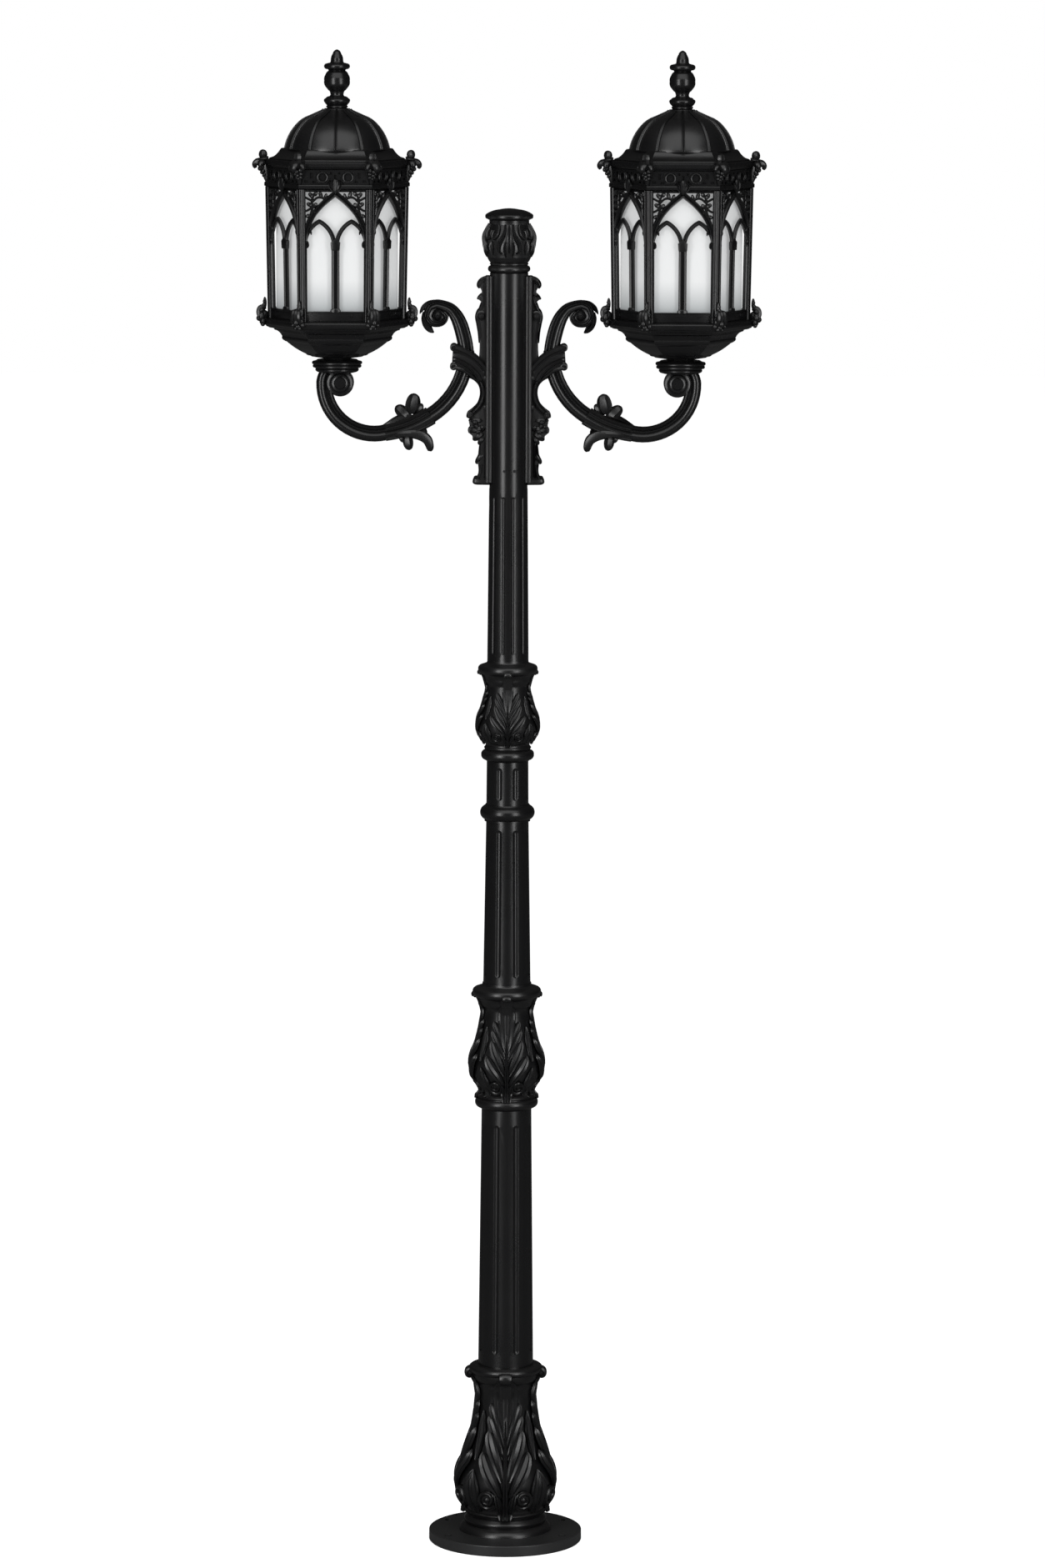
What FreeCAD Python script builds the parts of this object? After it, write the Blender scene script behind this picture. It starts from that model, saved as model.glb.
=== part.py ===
import FreeCAD, Part
import Sketcher
import math
import os
import re

# Garden lamp post with two lanterns. Millimetres, +Z up, origin at the centre of the base plate's
# underside. The left lantern hangs on -X, the right one on +X, and the front faces -Y.

document = FreeCAD.newDocument("garden_lamp_post")
vector = FreeCAD.Vector

# Driving sizes, one block for each piece. Lengths are millimetres, angles are degrees.
driving_sizes = {
    # Base plate, its anchor holes, earth hole and cable entry
    "plate_radius": 154, "plate_thickness": 22, "plate_edge_radius": 2,
    "hub_radius": 62, "hub_height": 10, "cable_entry_diameter": 38,
    "anchor_circle_radius": 131, "anchor_angle": 29, "anchor_hole_diameter": 16,
    "earth_hole_diameter": 10, "earth_hole_distance": 141, "earth_hole_angle": 134,
    # Steel core tube with its washer and nut
    "core_radius": 24.15, "core_wall": 3.2, "core_seat_depth": 12, "core_thread_length": 38,
    "core_clearance": 0.25, "washer_radius": 33, "washer_thickness": 4,
    "core_nut_width": 60, "core_nut_height": 22, "thread_clearance": 0.05,
    # Cast sections of the post, from the base plate up
    "casting_wall": 5, "web_thickness": 9, "spigot_height": 8, "spigot_clearance": 0.3,
    "vase_height": 341, "vase_belly_radius": 101.9, "vase_cavity_radius": 52,
    "lower_shaft_height": 525, "lower_shaft_foot_radius": 55.5, "lower_shaft_head_radius": 50,
    "lower_collar_height": 255, "lower_collar_belly_radius": 76.9,
    "middle_shaft_height": 327, "middle_shaft_foot_radius": 47.4, "middle_shaft_head_radius": 42.4,
    "middle_ring_height": 34, "middle_ring_radius": 55.4,
    "short_shaft_height": 87, "short_shaft_foot_radius": 42.1, "short_shaft_head_radius": 41.5,
    "upper_collar_height": 202, "upper_collar_belly_radius": 64.9,
    "upper_shaft_height": 342, "upper_shaft_foot_radius": 41.1, "upper_shaft_head_radius": 38.2,
    "sleeve_height": 427, "sleeve_radius": 37.8, "sleeve_wall": 4.6, "sleeve_lap": 60,
    "urn_height": 100, "urn_radius": 49.3, "urn_cavity_radius": 35.2, "urn_cavity_height": 52,
    "lid_height": 27, "lid_radius": 46.3, "lid_spigot_radius": 20, "lid_spigot_height": 10,
    "lid_spigot_gap": 2,
    # Flutes of the four shafts
    "flute_radius": 9, "flute_depth": 2.6, "flute_end_gap": 26, "fine_flute_radius": 6.4,
    "fine_flute_depth": 1.9, "short_flute_gap": 12, "broad_flute_count": 8, "fine_flute_count": 12,
    # Small fixing screws
    "screw_radius": 3, "screw_proud": 1, "sleeve_screw_level": 37, "sleeve_screw_left": 8.3,
    "sleeve_screw_right": 13.7, "collar_screw_level": 174, "collar_screw_outer": 50,
    "base_screw_level": 40, "base_screw_outer": 88,
    # Arm brackets, left and right of the sleeve
    "bracket_height": 414, "bracket_foot_gap": 7, "bracket_depth": 40, "bracket_back": 46,
    "bracket_front": 27, "bracket_clearance": 0.1, "bracket_reach": 36, "bracket_web_depth": 28,
    "bolt_radius": 3, "bolt_head_radius": 5, "bolt_head_height": 6, "bolt_clearance": 0.1,
    "bolt_offset": 14.5, "bolt_pitch": 29, "bolt_level": 191, "bolt_tip_distance": 27,
    # Arms, as tangent arcs from the root inside the collar
    "arm_root_distance": 83.7, "arm_root_level": 272.7, "arm_width": 31, "arm_depth": 28,
    "arm_chamfer": 7, "arm_upper_radius": 129, "arm_upper_turn": 29.4, "arm_crook_radius": 39,
    "arm_crook_turn": 60.6, "arm_curl_radius": 27, "arm_curl_turn": 80,
    "arm_drop_radius": 152, "arm_drop_turn": 57.7, "arm_bow_radius": 242, "arm_bow_turn": 25.3,
    "arm_rise_radius": 99, "arm_rise_turn": 99, "arm_wrap_radius": 32, "arm_wrap_turn": 45,
    "scroll_radius": 25, "scroll_depth": 35, "scroll_boss_radius": 13, "scroll_boss_depth": 40,
    "volute_radius": 27, "volute_depth": 35, "volute_boss_radius": 18.4, "volute_boss_depth": 41,
    "seat_rise": 19.9, "lantern_offset": 6.3,
    # Collars that hold the arms to the brackets
    "collar_height": 58, "collar_wall": 5.5, "collar_drop": 12, "collar_shift": 2,
    "collar_lip": 3.5, "collar_lip_height": 9, "collar_edge_radius": 1.5,
    # Leaf clasps on the arms
    "clasp_wall": 2.4, "clasp_turn": 22, "clasp_leaf_length": 62, "clasp_leaf_height": 40,
    "clasp_bud_radius": 11, "clasp_leaf_depth": 20,
    # Saddle, nipple and lock nut under each lantern
    "saddle_height": 26, "saddle_radius": 49.8, "nipple_radius": 9, "nipple_bore_radius": 6,
    "nipple_depth": 22, "nipple_proud": 2, "lock_nut_width": 45, "lock_nut_height": 5,
    # Lantern bowl and sill, hexagonal
    "bowl_height": 56, "bowl_radius": 125.1, "bowl_wall": 4,
    "sill_height": 21, "sill_radius": 146.5, "sill_hole_radius": 92,
    # Lantern cage: corner posts and traceried panels
    "cage_height": 258, "cage_foot_radius": 136.5, "cage_head_radius": 141,
    "post_arm": 8, "post_thickness": 14, "panel_inset": 6.5, "panel_thickness": 6,
    "panel_gap": 0.05, "opening_half_width": 55.8, "mullion_width": 14, "bottom_rail_height": 20,
    "lancet_height": 129, "arch_bar": 10, "eye_apex_height": 242, "eye_shoulder_height": 202,
    "eye_foot_height": 168, "eye_shoulder_distance": 38, "spandrel_edge": 59.2,
    "spandrel_top_height": 256, "spandrel_foot_height": 192, "spandrel_tip_distance": 15,
    # Cornice above the cage
    "cornice_height": 54, "cornice_radius": 146, "cornice_opening_radius": 122,
    "cornice_ledge_height": 10, "cornice_throat_radius": 105.2,
    # Roof that lifts off, and the finial nut on top of it
    "roof_gap": 0.1, "roof_flange_radius": 134, "roof_ledge_radius": 115, "roof_skirt_height": 22,
    "dome_radius": 99.2, "dome_height": 78, "dome_wall": 3.5, "dome_neck_radius": 22.1,
    "rib_height": 3, "rib_angle": 2.4, "rib_count": 12, "roof_lip_height": 7,
    "roof_lip_clearance": 0.5, "roof_travel_clearance": 0.3,
    "finial_height": 115, "finial_radius": 25.6, "finial_bore_depth": 22,
    # Inside the lantern
    "tray_radius": 102, "tray_thickness": 3, "tray_hole_radius": 11,
    "diffuser_radius": 104, "diffuser_wall": 3, "diffuser_height": 257, "diffuser_corner": 12,
    "diffuser_hole_radius": 30, "holder_radius": 21, "holder_height": 44, "holder_floor": 9,
    "holder_clearance": 0.3, "bulb_cap_radius": 13.2, "bulb_cap_height": 26,
    "bulb_cap_taper": 2, "bulb_contact_radius": 5.3, "bulb_radius": 30, "bulb_height": 84,
    "bar_width": 14, "bar_thickness": 6, "bar_half_length": 116,
    "stud_radius": 4, "stud_clearance": 0.05, "stud_end_gap": 2,
    # Leaf crockets at the corners of the eaves and the sill
    "eave_crocket_reach": 27.6, "eave_crocket_height": 72, "eave_crocket_drop": 56,
    "sill_crocket_reach": 21, "sill_crocket_height": 44, "sill_crocket_drop": 17,
    "crocket_thickness": 13, "crocket_overlap": 6,
    # Cutting tools run this far past what they cut
    "overrun": 2,
}

sheet = document.addObject("Spreadsheet::Sheet", "Sizes")
for row, (alias, number) in enumerate(driving_sizes.items(), start=1):
    sheet.set(f"A{row}", alias.replace("_", " "))
    sheet.set(f"B{row}", str(number))
    sheet.setAlias(f"B{row}", alias)
document.recompute()

alias_pattern = re.compile(r"\b(" + "|".join(sorted(driving_sizes, key=len, reverse=True)) + r")\b")


def value(expression):
    """The number that an expression in the sheet's names has now."""
    return float(sheet.evalExpression(str(expression)))


def bound(expression):
    """The same expression as another object of the document reads it."""
    return alias_pattern.sub(r"Sizes.\1", str(expression))


# Levels of the post's joints, each worked out from the heights below it
vase_foot = "plate_thickness"
lower_shaft_foot = f"({vase_foot} + vase_height)"
lower_collar_foot = f"({lower_shaft_foot} + lower_shaft_height)"
middle_shaft_foot = f"({lower_collar_foot} + lower_collar_height)"
middle_ring_foot = f"({middle_shaft_foot} + middle_shaft_height)"
short_shaft_foot = f"({middle_ring_foot} + middle_ring_height)"
upper_collar_foot = f"({short_shaft_foot} + short_shaft_height)"
upper_shaft_foot = f"({upper_collar_foot} + upper_collar_height)"
sleeve_foot = f"({upper_shaft_foot} + upper_shaft_height)"
urn_foot = f"({sleeve_foot} + sleeve_height)"
lid_foot = f"({urn_foot} + urn_height)"
core_bore = "(core_radius + core_clearance)"


def chain_end(start, heading, arcs):
    """End point and heading of tangent arcs; a positive turn is anticlockwise."""
    across, up = start
    for radius, turn in arcs:
        side = 1 if not turn.startswith("-") else -1
        swept = f"({heading} + {turn})" if side > 0 else f"({heading} - {turn[1:]})"
        sign = "+" if side > 0 else "-"
        across = f"({across} {sign} {radius} * (sin({swept}) - sin({heading})))"
        up = f"({up} {sign} {radius} * (cos({heading}) - cos({swept})))"
        heading = swept
    return across, up, heading


# The right arm's two runs leave its root, one upwards to the scroll and one down to the lantern
arm_root = ("arm_root_distance", f"({sleeve_foot} + arm_root_level)")
upper_arcs = [("arm_upper_radius", "-arm_upper_turn"), ("arm_crook_radius", "-arm_crook_turn"),
              ("arm_curl_radius", "-arm_curl_turn")]
lower_arcs = [("arm_drop_radius", "arm_drop_turn"), ("arm_bow_radius", "arm_bow_turn"),
              ("arm_rise_radius", "arm_rise_turn"), ("arm_wrap_radius", "arm_wrap_turn")]
scroll_start = chain_end(arm_root, "90", upper_arcs[:2])
scroll_centre = (f"({scroll_start[0]} + arm_curl_radius * sin({scroll_start[2]}))",
                 f"({scroll_start[1]} - arm_curl_radius * cos({scroll_start[2]}))")
bow_start = chain_end(arm_root, "(0 - 90)", lower_arcs[:1])
bow_centre = (f"({bow_start[0]} - arm_bow_radius * sin({bow_start[2]}))",
              f"({bow_start[1]} + arm_bow_radius * cos({bow_start[2]}))")
volute_start = chain_end(arm_root, "(0 - 90)", lower_arcs[:3])
volute_centre = (f"({volute_start[0]} - arm_wrap_radius * sin({volute_start[2]}))",
                 f"({volute_start[1]} + arm_wrap_radius * cos({volute_start[2]}))")

# Levels of the lantern's joints, each worked out from the seat on the arm
saddle_foot = f"({volute_centre[1]} + seat_rise)"
lantern_reach = f"({volute_centre[0]} + lantern_offset)"
lock_nut_foot = f"({saddle_foot} + saddle_height)"
bowl_foot = f"({lock_nut_foot} + lock_nut_height)"
sill_foot = f"({bowl_foot} + bowl_height)"
cage_foot = f"({sill_foot} + sill_height)"
cornice_foot = f"({cage_foot} + cage_height)"
eave_level = f"({cornice_foot} + cornice_height)"
roof_foot = f"({eave_level} + roof_gap)"
dome_foot = f"({roof_foot} + roof_skirt_height)"
finial_foot = f"({dome_foot} + dome_height + roof_gap)"
bar_foot = f"({cornice_foot} + cornice_ledge_height)"
diffuser_foot = f"({cage_foot} + tray_thickness)"

# Offset across the post and level of each bolt that holds a bracket to the sleeve
bolt_places = [(lean, f"({sleeve_foot} + bolt_level {step} bolt_pitch)")
               for lean in ("(0 - bolt_offset)", "bolt_offset") for step in ("-", "+")]

written_nodes = []

# Bulges of arcs that turn through a quarter and a sixth of a circle
quarter_bulge = math.tan(math.radians(90 / 4))
sixth_bulge = math.tan(math.radians(60 / 4))


def new_body(label):
    """An empty body whose label names its file."""
    body = document.addObject("PartDesign::Body", label)
    body.Label = label
    body.AllowCompound = True
    written_nodes.append(body)
    return body


def origin_feature(body, role):
    return next(item for item in body.Origin.OriginFeatures if item.Role == role)


def new_sketch(body, name, role="XZ_Plane", level="0"):
    """A sketch on one of the body's own planes, moved along its normal by level."""
    sketch = body.newObject("Sketcher::SketchObject", name)
    sketch.AttachmentSupport = (origin_feature(body, role), "")
    sketch.MapMode = "FlatFace"
    if level != "0":
        sketch.setExpression("AttachmentOffset.Base.z", bound(level))
    return sketch


def fix_point(sketch, geometry, end, across, up):
    """Hold one end of an edge at a place given by two expressions."""
    for kind, axis, expression in (("DistanceX", -2, across), ("DistanceY", -1, up)):
        if expression == "0":
            sketch.addConstraint(Sketcher.Constraint("PointOnObject", geometry, end, axis))
            continue
        constraint = Sketcher.Constraint(kind, -1, 1, geometry, end, value(expression))
        index = sketch.addConstraint(constraint)
        sketch.setExpression(f"Constraints[{index}]", bound(expression))


def draw_outline(sketch, corners):
    """A closed outline. A corner is (across, up) or (across, up, bulge): the bulge is the tangent of a
    quarter of the angle of the arc that leaves the corner, positive when it runs anticlockwise."""
    first = sketch.GeometryCount
    ends = []
    count = len(corners)
    for index, corner in enumerate(corners):
        following = corners[(index + 1) % count]
        start = vector(value(corner[0]), value(corner[1]), 0)
        stop = vector(value(following[0]), value(following[1]), 0)
        bulge = corner[2] if len(corner) > 2 else 0
        if not bulge:
            sketch.addGeometry(Part.LineSegment(start, stop))
            ends.append((1, 2))
            continue
        chord = stop - start
        radius = chord.Length * (1 + bulge * bulge) / (4 * abs(bulge))
        normal = vector(-chord.y, chord.x, 0).normalize()
        centre = (start + stop) * 0.5 + normal * (chord.Length * (1 - bulge * bulge) / (4 * bulge))
        from_point, to_point = (start, stop) if bulge > 0 else (stop, start)
        start_angle = math.atan2(from_point.y - centre.y, from_point.x - centre.x)
        stop_angle = math.atan2(to_point.y - centre.y, to_point.x - centre.x)
        if stop_angle < start_angle:
            stop_angle += 2 * math.pi
        circle = Part.Circle(centre, vector(0, 0, 1), radius)
        sketch.addGeometry(Part.ArcOfCircle(circle, start_angle, stop_angle))
        ends.append((1, 2) if bulge > 0 else (2, 1))
    for index, corner in enumerate(corners):
        following = (index + 1) % count
        sketch.addConstraint(Sketcher.Constraint(
            "Coincident", first + index, ends[index][1], first + following, ends[following][0]))
        fix_point(sketch, first + index, ends[index][0], corner[0], corner[1])
    for index, corner in enumerate(corners):
        bulge = corner[2] if len(corner) > 2 else 0
        if not bulge:
            continue
        following = corners[(index + 1) % count]
        across = f"(({following[0]}) - ({corner[0]}))"
        up = f"(({following[1]}) - ({corner[1]}))"
        factor = (1 + bulge * bulge) / (4 * abs(bulge))
        expression = f"{factor:.9f} * sqrt({across} * {across} + {up} * {up})"
        added = sketch.addConstraint(Sketcher.Constraint("Radius", first + index, value(expression)))
        sketch.setExpression(f"Constraints[{added}]", bound(expression))


def draw_circle(sketch, centre, radius):
    """A circle held by its centre and its radius."""
    circle = Part.Circle(vector(value(centre[0]), value(centre[1]), 0), vector(0, 0, 1), value(radius))
    geometry = sketch.addGeometry(circle)
    fix_point(sketch, geometry, 3, *centre)
    index = sketch.addConstraint(Sketcher.Constraint("Radius", geometry, value(radius)))
    sketch.setExpression(f"Constraints[{index}]", bound(radius))


def turn(body, name, corners, cut=False):
    """Spin an outline in the XZ plane about Z, as metal or as a cut."""
    sketch = new_sketch(body, name + "_outline")
    draw_outline(sketch, corners)
    feature = body.newObject("PartDesign::Groove" if cut else "PartDesign::Revolution", name)
    feature.Profile = sketch
    feature.ReferenceAxis = (sketch, ["V_Axis"])
    feature.Angle = 360
    return feature


def from_shares(shares, radius, foot, height):
    """Corners of a turned outline from shares of its widest radius and of its height."""
    corners = []
    for share in shares:
        across = "0" if share[0] == 0 else f"({share[0]} * {radius})"
        corners.append((across, f"({foot} + {share[1]} * {height})") + tuple(share[2:]))
    return corners


def bore(body, name, radius, foot, head):
    """A round hole about Z between two levels."""
    return turn(body, name, [("0", foot), (radius, foot), (radius, head), ("0", head)], cut=True)


def extrude(body, name, sketch, length, cut=False, symmetric=False, through=False):
    """Pad or pocket a sketch."""
    feature = body.newObject("PartDesign::Pocket" if cut else "PartDesign::Pad", name)
    feature.Profile = sketch
    if symmetric:
        feature.SideType = "Symmetric"
    if through:
        feature.Type = "ThroughAll"
    else:
        feature.setExpression("Length", bound(length))
    return feature


def repeat_round(body, name, originals, count, angle=360):
    """Repeat features about Z; the count is a number or a name of the sheet."""
    pattern = body.newObject("PartDesign::PolarPattern", name)
    pattern.Originals = originals
    pattern.Axis = (origin_feature(body, "Z_Axis"), [""])
    pattern.Angle = angle
    if isinstance(count, str):
        pattern.setExpression("Occurrences", bound(count))
    else:
        pattern.Occurrences = count
    body.Tip = pattern
    return pattern


def hexagon(body, name, radius, level):
    """A hexagon across the post, with a corner on +X."""
    sketch = new_sketch(body, name, "XY_Plane", level)
    corners = []
    for step in range(6):
        across = f"{radius} * cos({60 * step})"
        up = "0" if step % 3 == 0 else f"{radius} * sin({60 * step})"
        corners.append((across, up))
    draw_outline(sketch, corners)
    return sketch


def hexagonal(body, name, levels, cut=False):
    """A hexagonal moulding or hollow through (radius, level) pairs."""
    sections = [hexagon(body, f"{name}_{index}", radius, level)
                for index, (radius, level) in enumerate(levels)]
    feature = body.newObject("PartDesign::SubtractiveLoft" if cut else "PartDesign::AdditiveLoft", name)
    feature.Profile = sections[0]
    feature.Sections = sections[1:]
    feature.Ruled = True
    return feature


def solid_feature(label, shape):
    """A node whose shape is built here from the sheet's sizes."""
    item = document.addObject("Part::Feature", label)
    item.Label = label
    item.Shape = shape
    item.Placement = FreeCAD.Placement()
    written_nodes.append(item)
    return item


def turned_copies(originals):
    """The left side's pieces: each right one's shape turned half a turn about the post."""
    for original in originals:
        label = original.Label.replace("right_", "left_")
        copy = document.addObject("Part::Compound", label)
        copy.Label = label
        copy.Links = [original]
        copy.Placement = FreeCAD.Placement(vector(0, 0, 0), FreeCAD.Rotation(vector(0, 0, 1), 180))
        written_nodes.append(copy)


def plate_from(points, depth):
    """A plate in the XZ plane, centred on it, from (across, up, bulge) numbers."""
    edges = []
    for index, corner in enumerate(points):
        following = points[(index + 1) % len(points)]
        start = vector(corner[0], 0, corner[1])
        stop = vector(following[0], 0, following[1])
        bulge = corner[2] if len(corner) > 2 else 0
        if not bulge:
            edges.append(Part.LineSegment(start, stop).toShape())
            continue
        chord = stop - start
        right = vector(chord.z, 0, -chord.x)
        edges.append(Part.Arc(start, (start + stop) * 0.5 + right * (bulge / 2), stop).toShape())
    face = Part.Face(Part.Wire(edges))
    face.translate(vector(0, -depth / 2, 0))
    solid = face.extrude(vector(0, depth, 0))
    return solid


def rod(radius, length, place, direction):
    return Part.makeCylinder(radius, length, place, direction)


def hexagon_prism(width, height, level):
    """A nut blank of the given width across flats, standing at a level."""
    radius = width / math.sqrt(3)
    points = [vector(radius * math.cos(math.radians(60 * step)),
                     radius * math.sin(math.radians(60 * step)), level) for step in range(7)]
    return Part.Face(Part.makePolygon(points)).extrude(vector(0, 0, height))


# Base plate and core

def base_plate():
    body = new_body("base_plate")
    hub_top = "(plate_thickness + hub_height)"
    turn(body, "disc", [
        ("cable_entry_diameter / 2", "0"), ("plate_radius - plate_edge_radius", "0"),
        ("plate_radius", "plate_edge_radius"),
        ("plate_radius", "plate_thickness - plate_edge_radius", quarter_bulge),
        ("plate_radius - plate_edge_radius", "plate_thickness"), ("hub_radius", "plate_thickness"),
        ("hub_radius", hub_top), (core_bore, hub_top),
        (core_bore, "plate_thickness - core_seat_depth"),
        ("cable_entry_diameter / 2", "plate_thickness - core_seat_depth")])
    sketch = new_sketch(body, "hole_places", "XY_Plane", "0")
    places = [("anchor_hole_diameter", "anchor_circle_radius", f"{base} {sign} anchor_angle")
              for base in (0, 180) for sign in ("+", "-")]
    places.append(("earth_hole_diameter", "earth_hole_distance", "earth_hole_angle"))
    for diameter, distance, angle in places:
        draw_circle(sketch, (f"{distance} * cos({angle})", f"{distance} * sin({angle})"), f"{diameter} / 2")
    holes = extrude(body, "bolt_holes", sketch, "plate_thickness + overrun", cut=True)
    holes.Reversed = True


def core_tube():
    body = new_body("core_tube")
    foot = "(plate_thickness - core_seat_depth)"
    head = f"({urn_foot} + core_thread_length)"
    turn(body, "tube", [("core_radius - core_wall", foot), ("core_radius", foot),
                        ("core_radius", head), ("core_radius - core_wall", head)])


def core_nut():
    level = value(urn_foot)
    washer_thickness = value("washer_thickness")
    washer = rod(value("washer_radius"), washer_thickness, vector(0, 0, level), vector(0, 0, 1))
    nut = hexagon_prism(value("core_nut_width"), value("core_nut_height"), level + washer_thickness)
    hole = rod(value("core_radius + thread_clearance"), value("core_nut_height + washer_thickness"),
               vector(0, 0, level), vector(0, 0, 1))
    solid_feature("core_nut", Part.makeCompound([washer.cut(hole), nut.cut(hole)]))


# Cast sections. Shares are (radius, height, bulge) of the widest radius and of the height.

vase_shares = [
    (0.912, 0), (0.912, 0.012, -0.30), (0.775, 0.040), (0.800, 0.052, 0.50), (0.775, 0.075),
    (0.755, 0.085), (0.880, 0.130, 0.12), (1.000, 0.297, 0.20), (0.805, 0.510, -0.10),
    (0.615, 0.835, -0.10), (0.700, 0.895), (0.780, 0.915, 0.45), (0.780, 0.965), (0.690, 0.985), (0.655, 1)]

lower_collar_shares = [
    (0.650, 0), (0.650, 0.010), (0.700, 0.020, 0.70), (0.720, 0.120), (0.750, 0.129), (0.705, 0.155),
    (0.785, 0.188, 0.16), (1.000, 0.357, 0.14), (0.830, 0.540, -0.10), (0.685, 0.805, -0.06),
    (0.765, 0.906), (0.850, 0.925, 0.60), (0.850, 0.985), (0.690, 1)]

upper_collar_shares = [
    (0.690, 0), (0.710, 0.010), (0.740, 0.020, 0.70), (0.720, 0.125), (0.675, 0.155),
    (0.790, 0.193, 0.16), (1.000, 0.366, 0.14), (0.830, 0.575, -0.10), (0.700, 0.760, -0.06), (0.755, 0.862),
    (0.850, 0.890, 0.60), (0.850, 0.970), (0.720, 1)]

middle_ring_shares = [
    (0.827, 0), (0.827, 0.180), (0.860, 0.230, 0.60), (0.860, 0.780), (0.800, 0.850), (0.785, 1)]

urn_shares = [
    (0.760, 0), (0.800, 0.040, 0.60), (0.800, 0.150), (0.780, 0.180), (0.790, 0.220),
    (0.905, 0.300, 0.18), (1.000, 0.600, 0.18), (0.800, 0.930), (0.800, 1)]

lid_shares = [
    (0.850, 0), (0.850, 0.150), (1.000, 0.400, 0.40), (0.960, 0.680),
    (0.880, 0.760, 0.08), (0.050, 1), (0, 1)]


saddle_shares = [
    (0.635, 0), (0.925, 0.170, 0.30), (0.960, 0.400), (0.940, 0.440), (1.000, 0.560, 0.35),
    (0.900, 0.860), (0.800, 0.900), (0.780, 1)]

bowl_shares = [(0.413, 0), (0.478, 0.054), (0.543, 0.143), (0.649, 0.321), (0.803, 0.500),
               (0.855, 0.589), (0.863, 0.679), (0.891, 0.857), (1.000, 1)]

sill_shares = [(0.860, 0), (0.955, 0.190), (1.000, 0.500), (1.000, 0.810), (0.965, 0.920), (0.952, 1)]

cornice_shares = [(0.966, 0), (0.983, 0.040), (0.983, 0.150), (0.952, 0.190), (0.952, 0.700),
                  (0.978, 0.740), (1.000, 0.810), (1.000, 1)]

# Share of the step from the ledge out to the flange, share of the skirt's height
skirt_shares = [(1.00, 0), (0.58, 0.09), (0.22, 0.25), (0.06, 0.50), (0.00, 0.78), (0.00, 1)]

dome_shares = [(1.000, 0, 0.135), (0.781, 0.564, 0.16), (0.484, 0.808), (0.298, 0.923, -0.15),
               (0.228, 0.990)]

finial_shares = [
    (0.863, 0), (0.850, 0.035), (0.860, 0.060, 0.60), (0.860, 0.175), (0.720, 0.200), (0.540, 0.265),
    (0.770, 0.340, 0.30), (0.820, 0.600), (0.680, 0.635), (0.900, 0.690, 0.50), (0.900, 0.750),
    (0.470, 0.775, 0.10), (0.470, 0.860, 0.12), (0.050, 1), (0, 1)]

bulb_shares = [(0.430, 0), (0.430, 0.150), (0.620, 0.270, 0.05), (1.000, 0.600, quarter_bulge),
               (0.050, 1), (0, 1)]

eave_crocket_shares = [
    # From the tail under the eave outwards: share of the reach, share of the height, bulge
    (-0.30, 0.170), (0.10, 0.160, 0.40), (0.12, 0.300), (0.20, 0.490), (0.45, 0.590),
    (0.80, 0.540, 0.60), (1.00, 0.650, 0.20), (0.70, 0.790), (0.46, 0.800, 0.25),
    (0.46, 0.900), (0.15, 1.000, 0.10), (-0.14, 0.900, 0.25), (-0.10, 0.800), (-0.30, 0.780)]

sill_crocket_shares = [
    (-0.30, 0.120), (0.25, 0.000, 0.30), (0.52, 0.180), (0.82, 0.360, 0.50), (0.86, 0.720),
    (0.45, 0.860, 0.20), (-0.10, 0.800), (-0.25, 1.000), (-0.35, 0.990)]


def cast_section(label, foot, height, radius, shares, wide_bore, seat_above=""):
    """A turned casting with a bored web at the top and a spigot for the section above it."""
    body = new_body(label)
    head = f"({foot} + {height})"
    corners = from_shares(shares, radius, foot, height)
    if seat_above:
        spigot = f"({seat_above} - casting_wall - spigot_clearance)"
        corners += [(spigot, head), (spigot, f"({head} + spigot_height)"),
                    ("0", f"({head} + spigot_height)")]
    else:
        corners.append(("0", head))
    corners.append(("0", foot))
    turn(body, "casting", corners)
    top = f"({head} + spigot_height + overrun)" if seat_above else f"({head} + overrun)"
    turn(body, "hollow", [
        ("0", f"({foot} - overrun)"), (wide_bore, f"({foot} - overrun)"),
        (wide_bore, f"({head} - web_thickness)"), (core_bore, f"({head} - web_thickness)"),
        (core_bore, top), ("0", top)], cut=True)
    return body


# The hollow inside the vase's belly, as shares of its widest radius and of its height
vase_hollow_shares = [(0.505, 0.100), (0.860, 0.190, 0.10), (0.860, 0.360), (0.660, 0.560), (0.505, 0.800)]


def post_castings():
    base_vase = cast_section("base_vase", vase_foot, "vase_height", "vase_belly_radius", vase_shares,
                             "vase_cavity_radius", "lower_shaft_foot_radius")
    belly = from_shares(vase_hollow_shares, "vase_belly_radius", vase_foot, "vase_height")
    turn(base_vase, "belly_hollow", belly + [("0", belly[-1][1]), ("0", belly[0][1])], cut=True)
    bore(base_vase, "hub_recess", "(hub_radius + spigot_clearance)", f"({vase_foot} - overrun)",
         f"({vase_foot} + hub_height + spigot_clearance)")
    cast_section("lower_leaf_collar", lower_collar_foot, "lower_collar_height",
                 "lower_collar_belly_radius", lower_collar_shares,
                 "(lower_shaft_head_radius - casting_wall)", "middle_shaft_foot_radius")
    cast_section("middle_ring", middle_ring_foot, "middle_ring_height", "middle_ring_radius",
                 middle_ring_shares, "(middle_shaft_head_radius - casting_wall)",
                 "short_shaft_foot_radius")
    cast_section("upper_leaf_collar", upper_collar_foot, "upper_collar_height",
                 "upper_collar_belly_radius", upper_collar_shares,
                 "(short_shaft_head_radius - casting_wall)", "upper_shaft_foot_radius")


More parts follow.
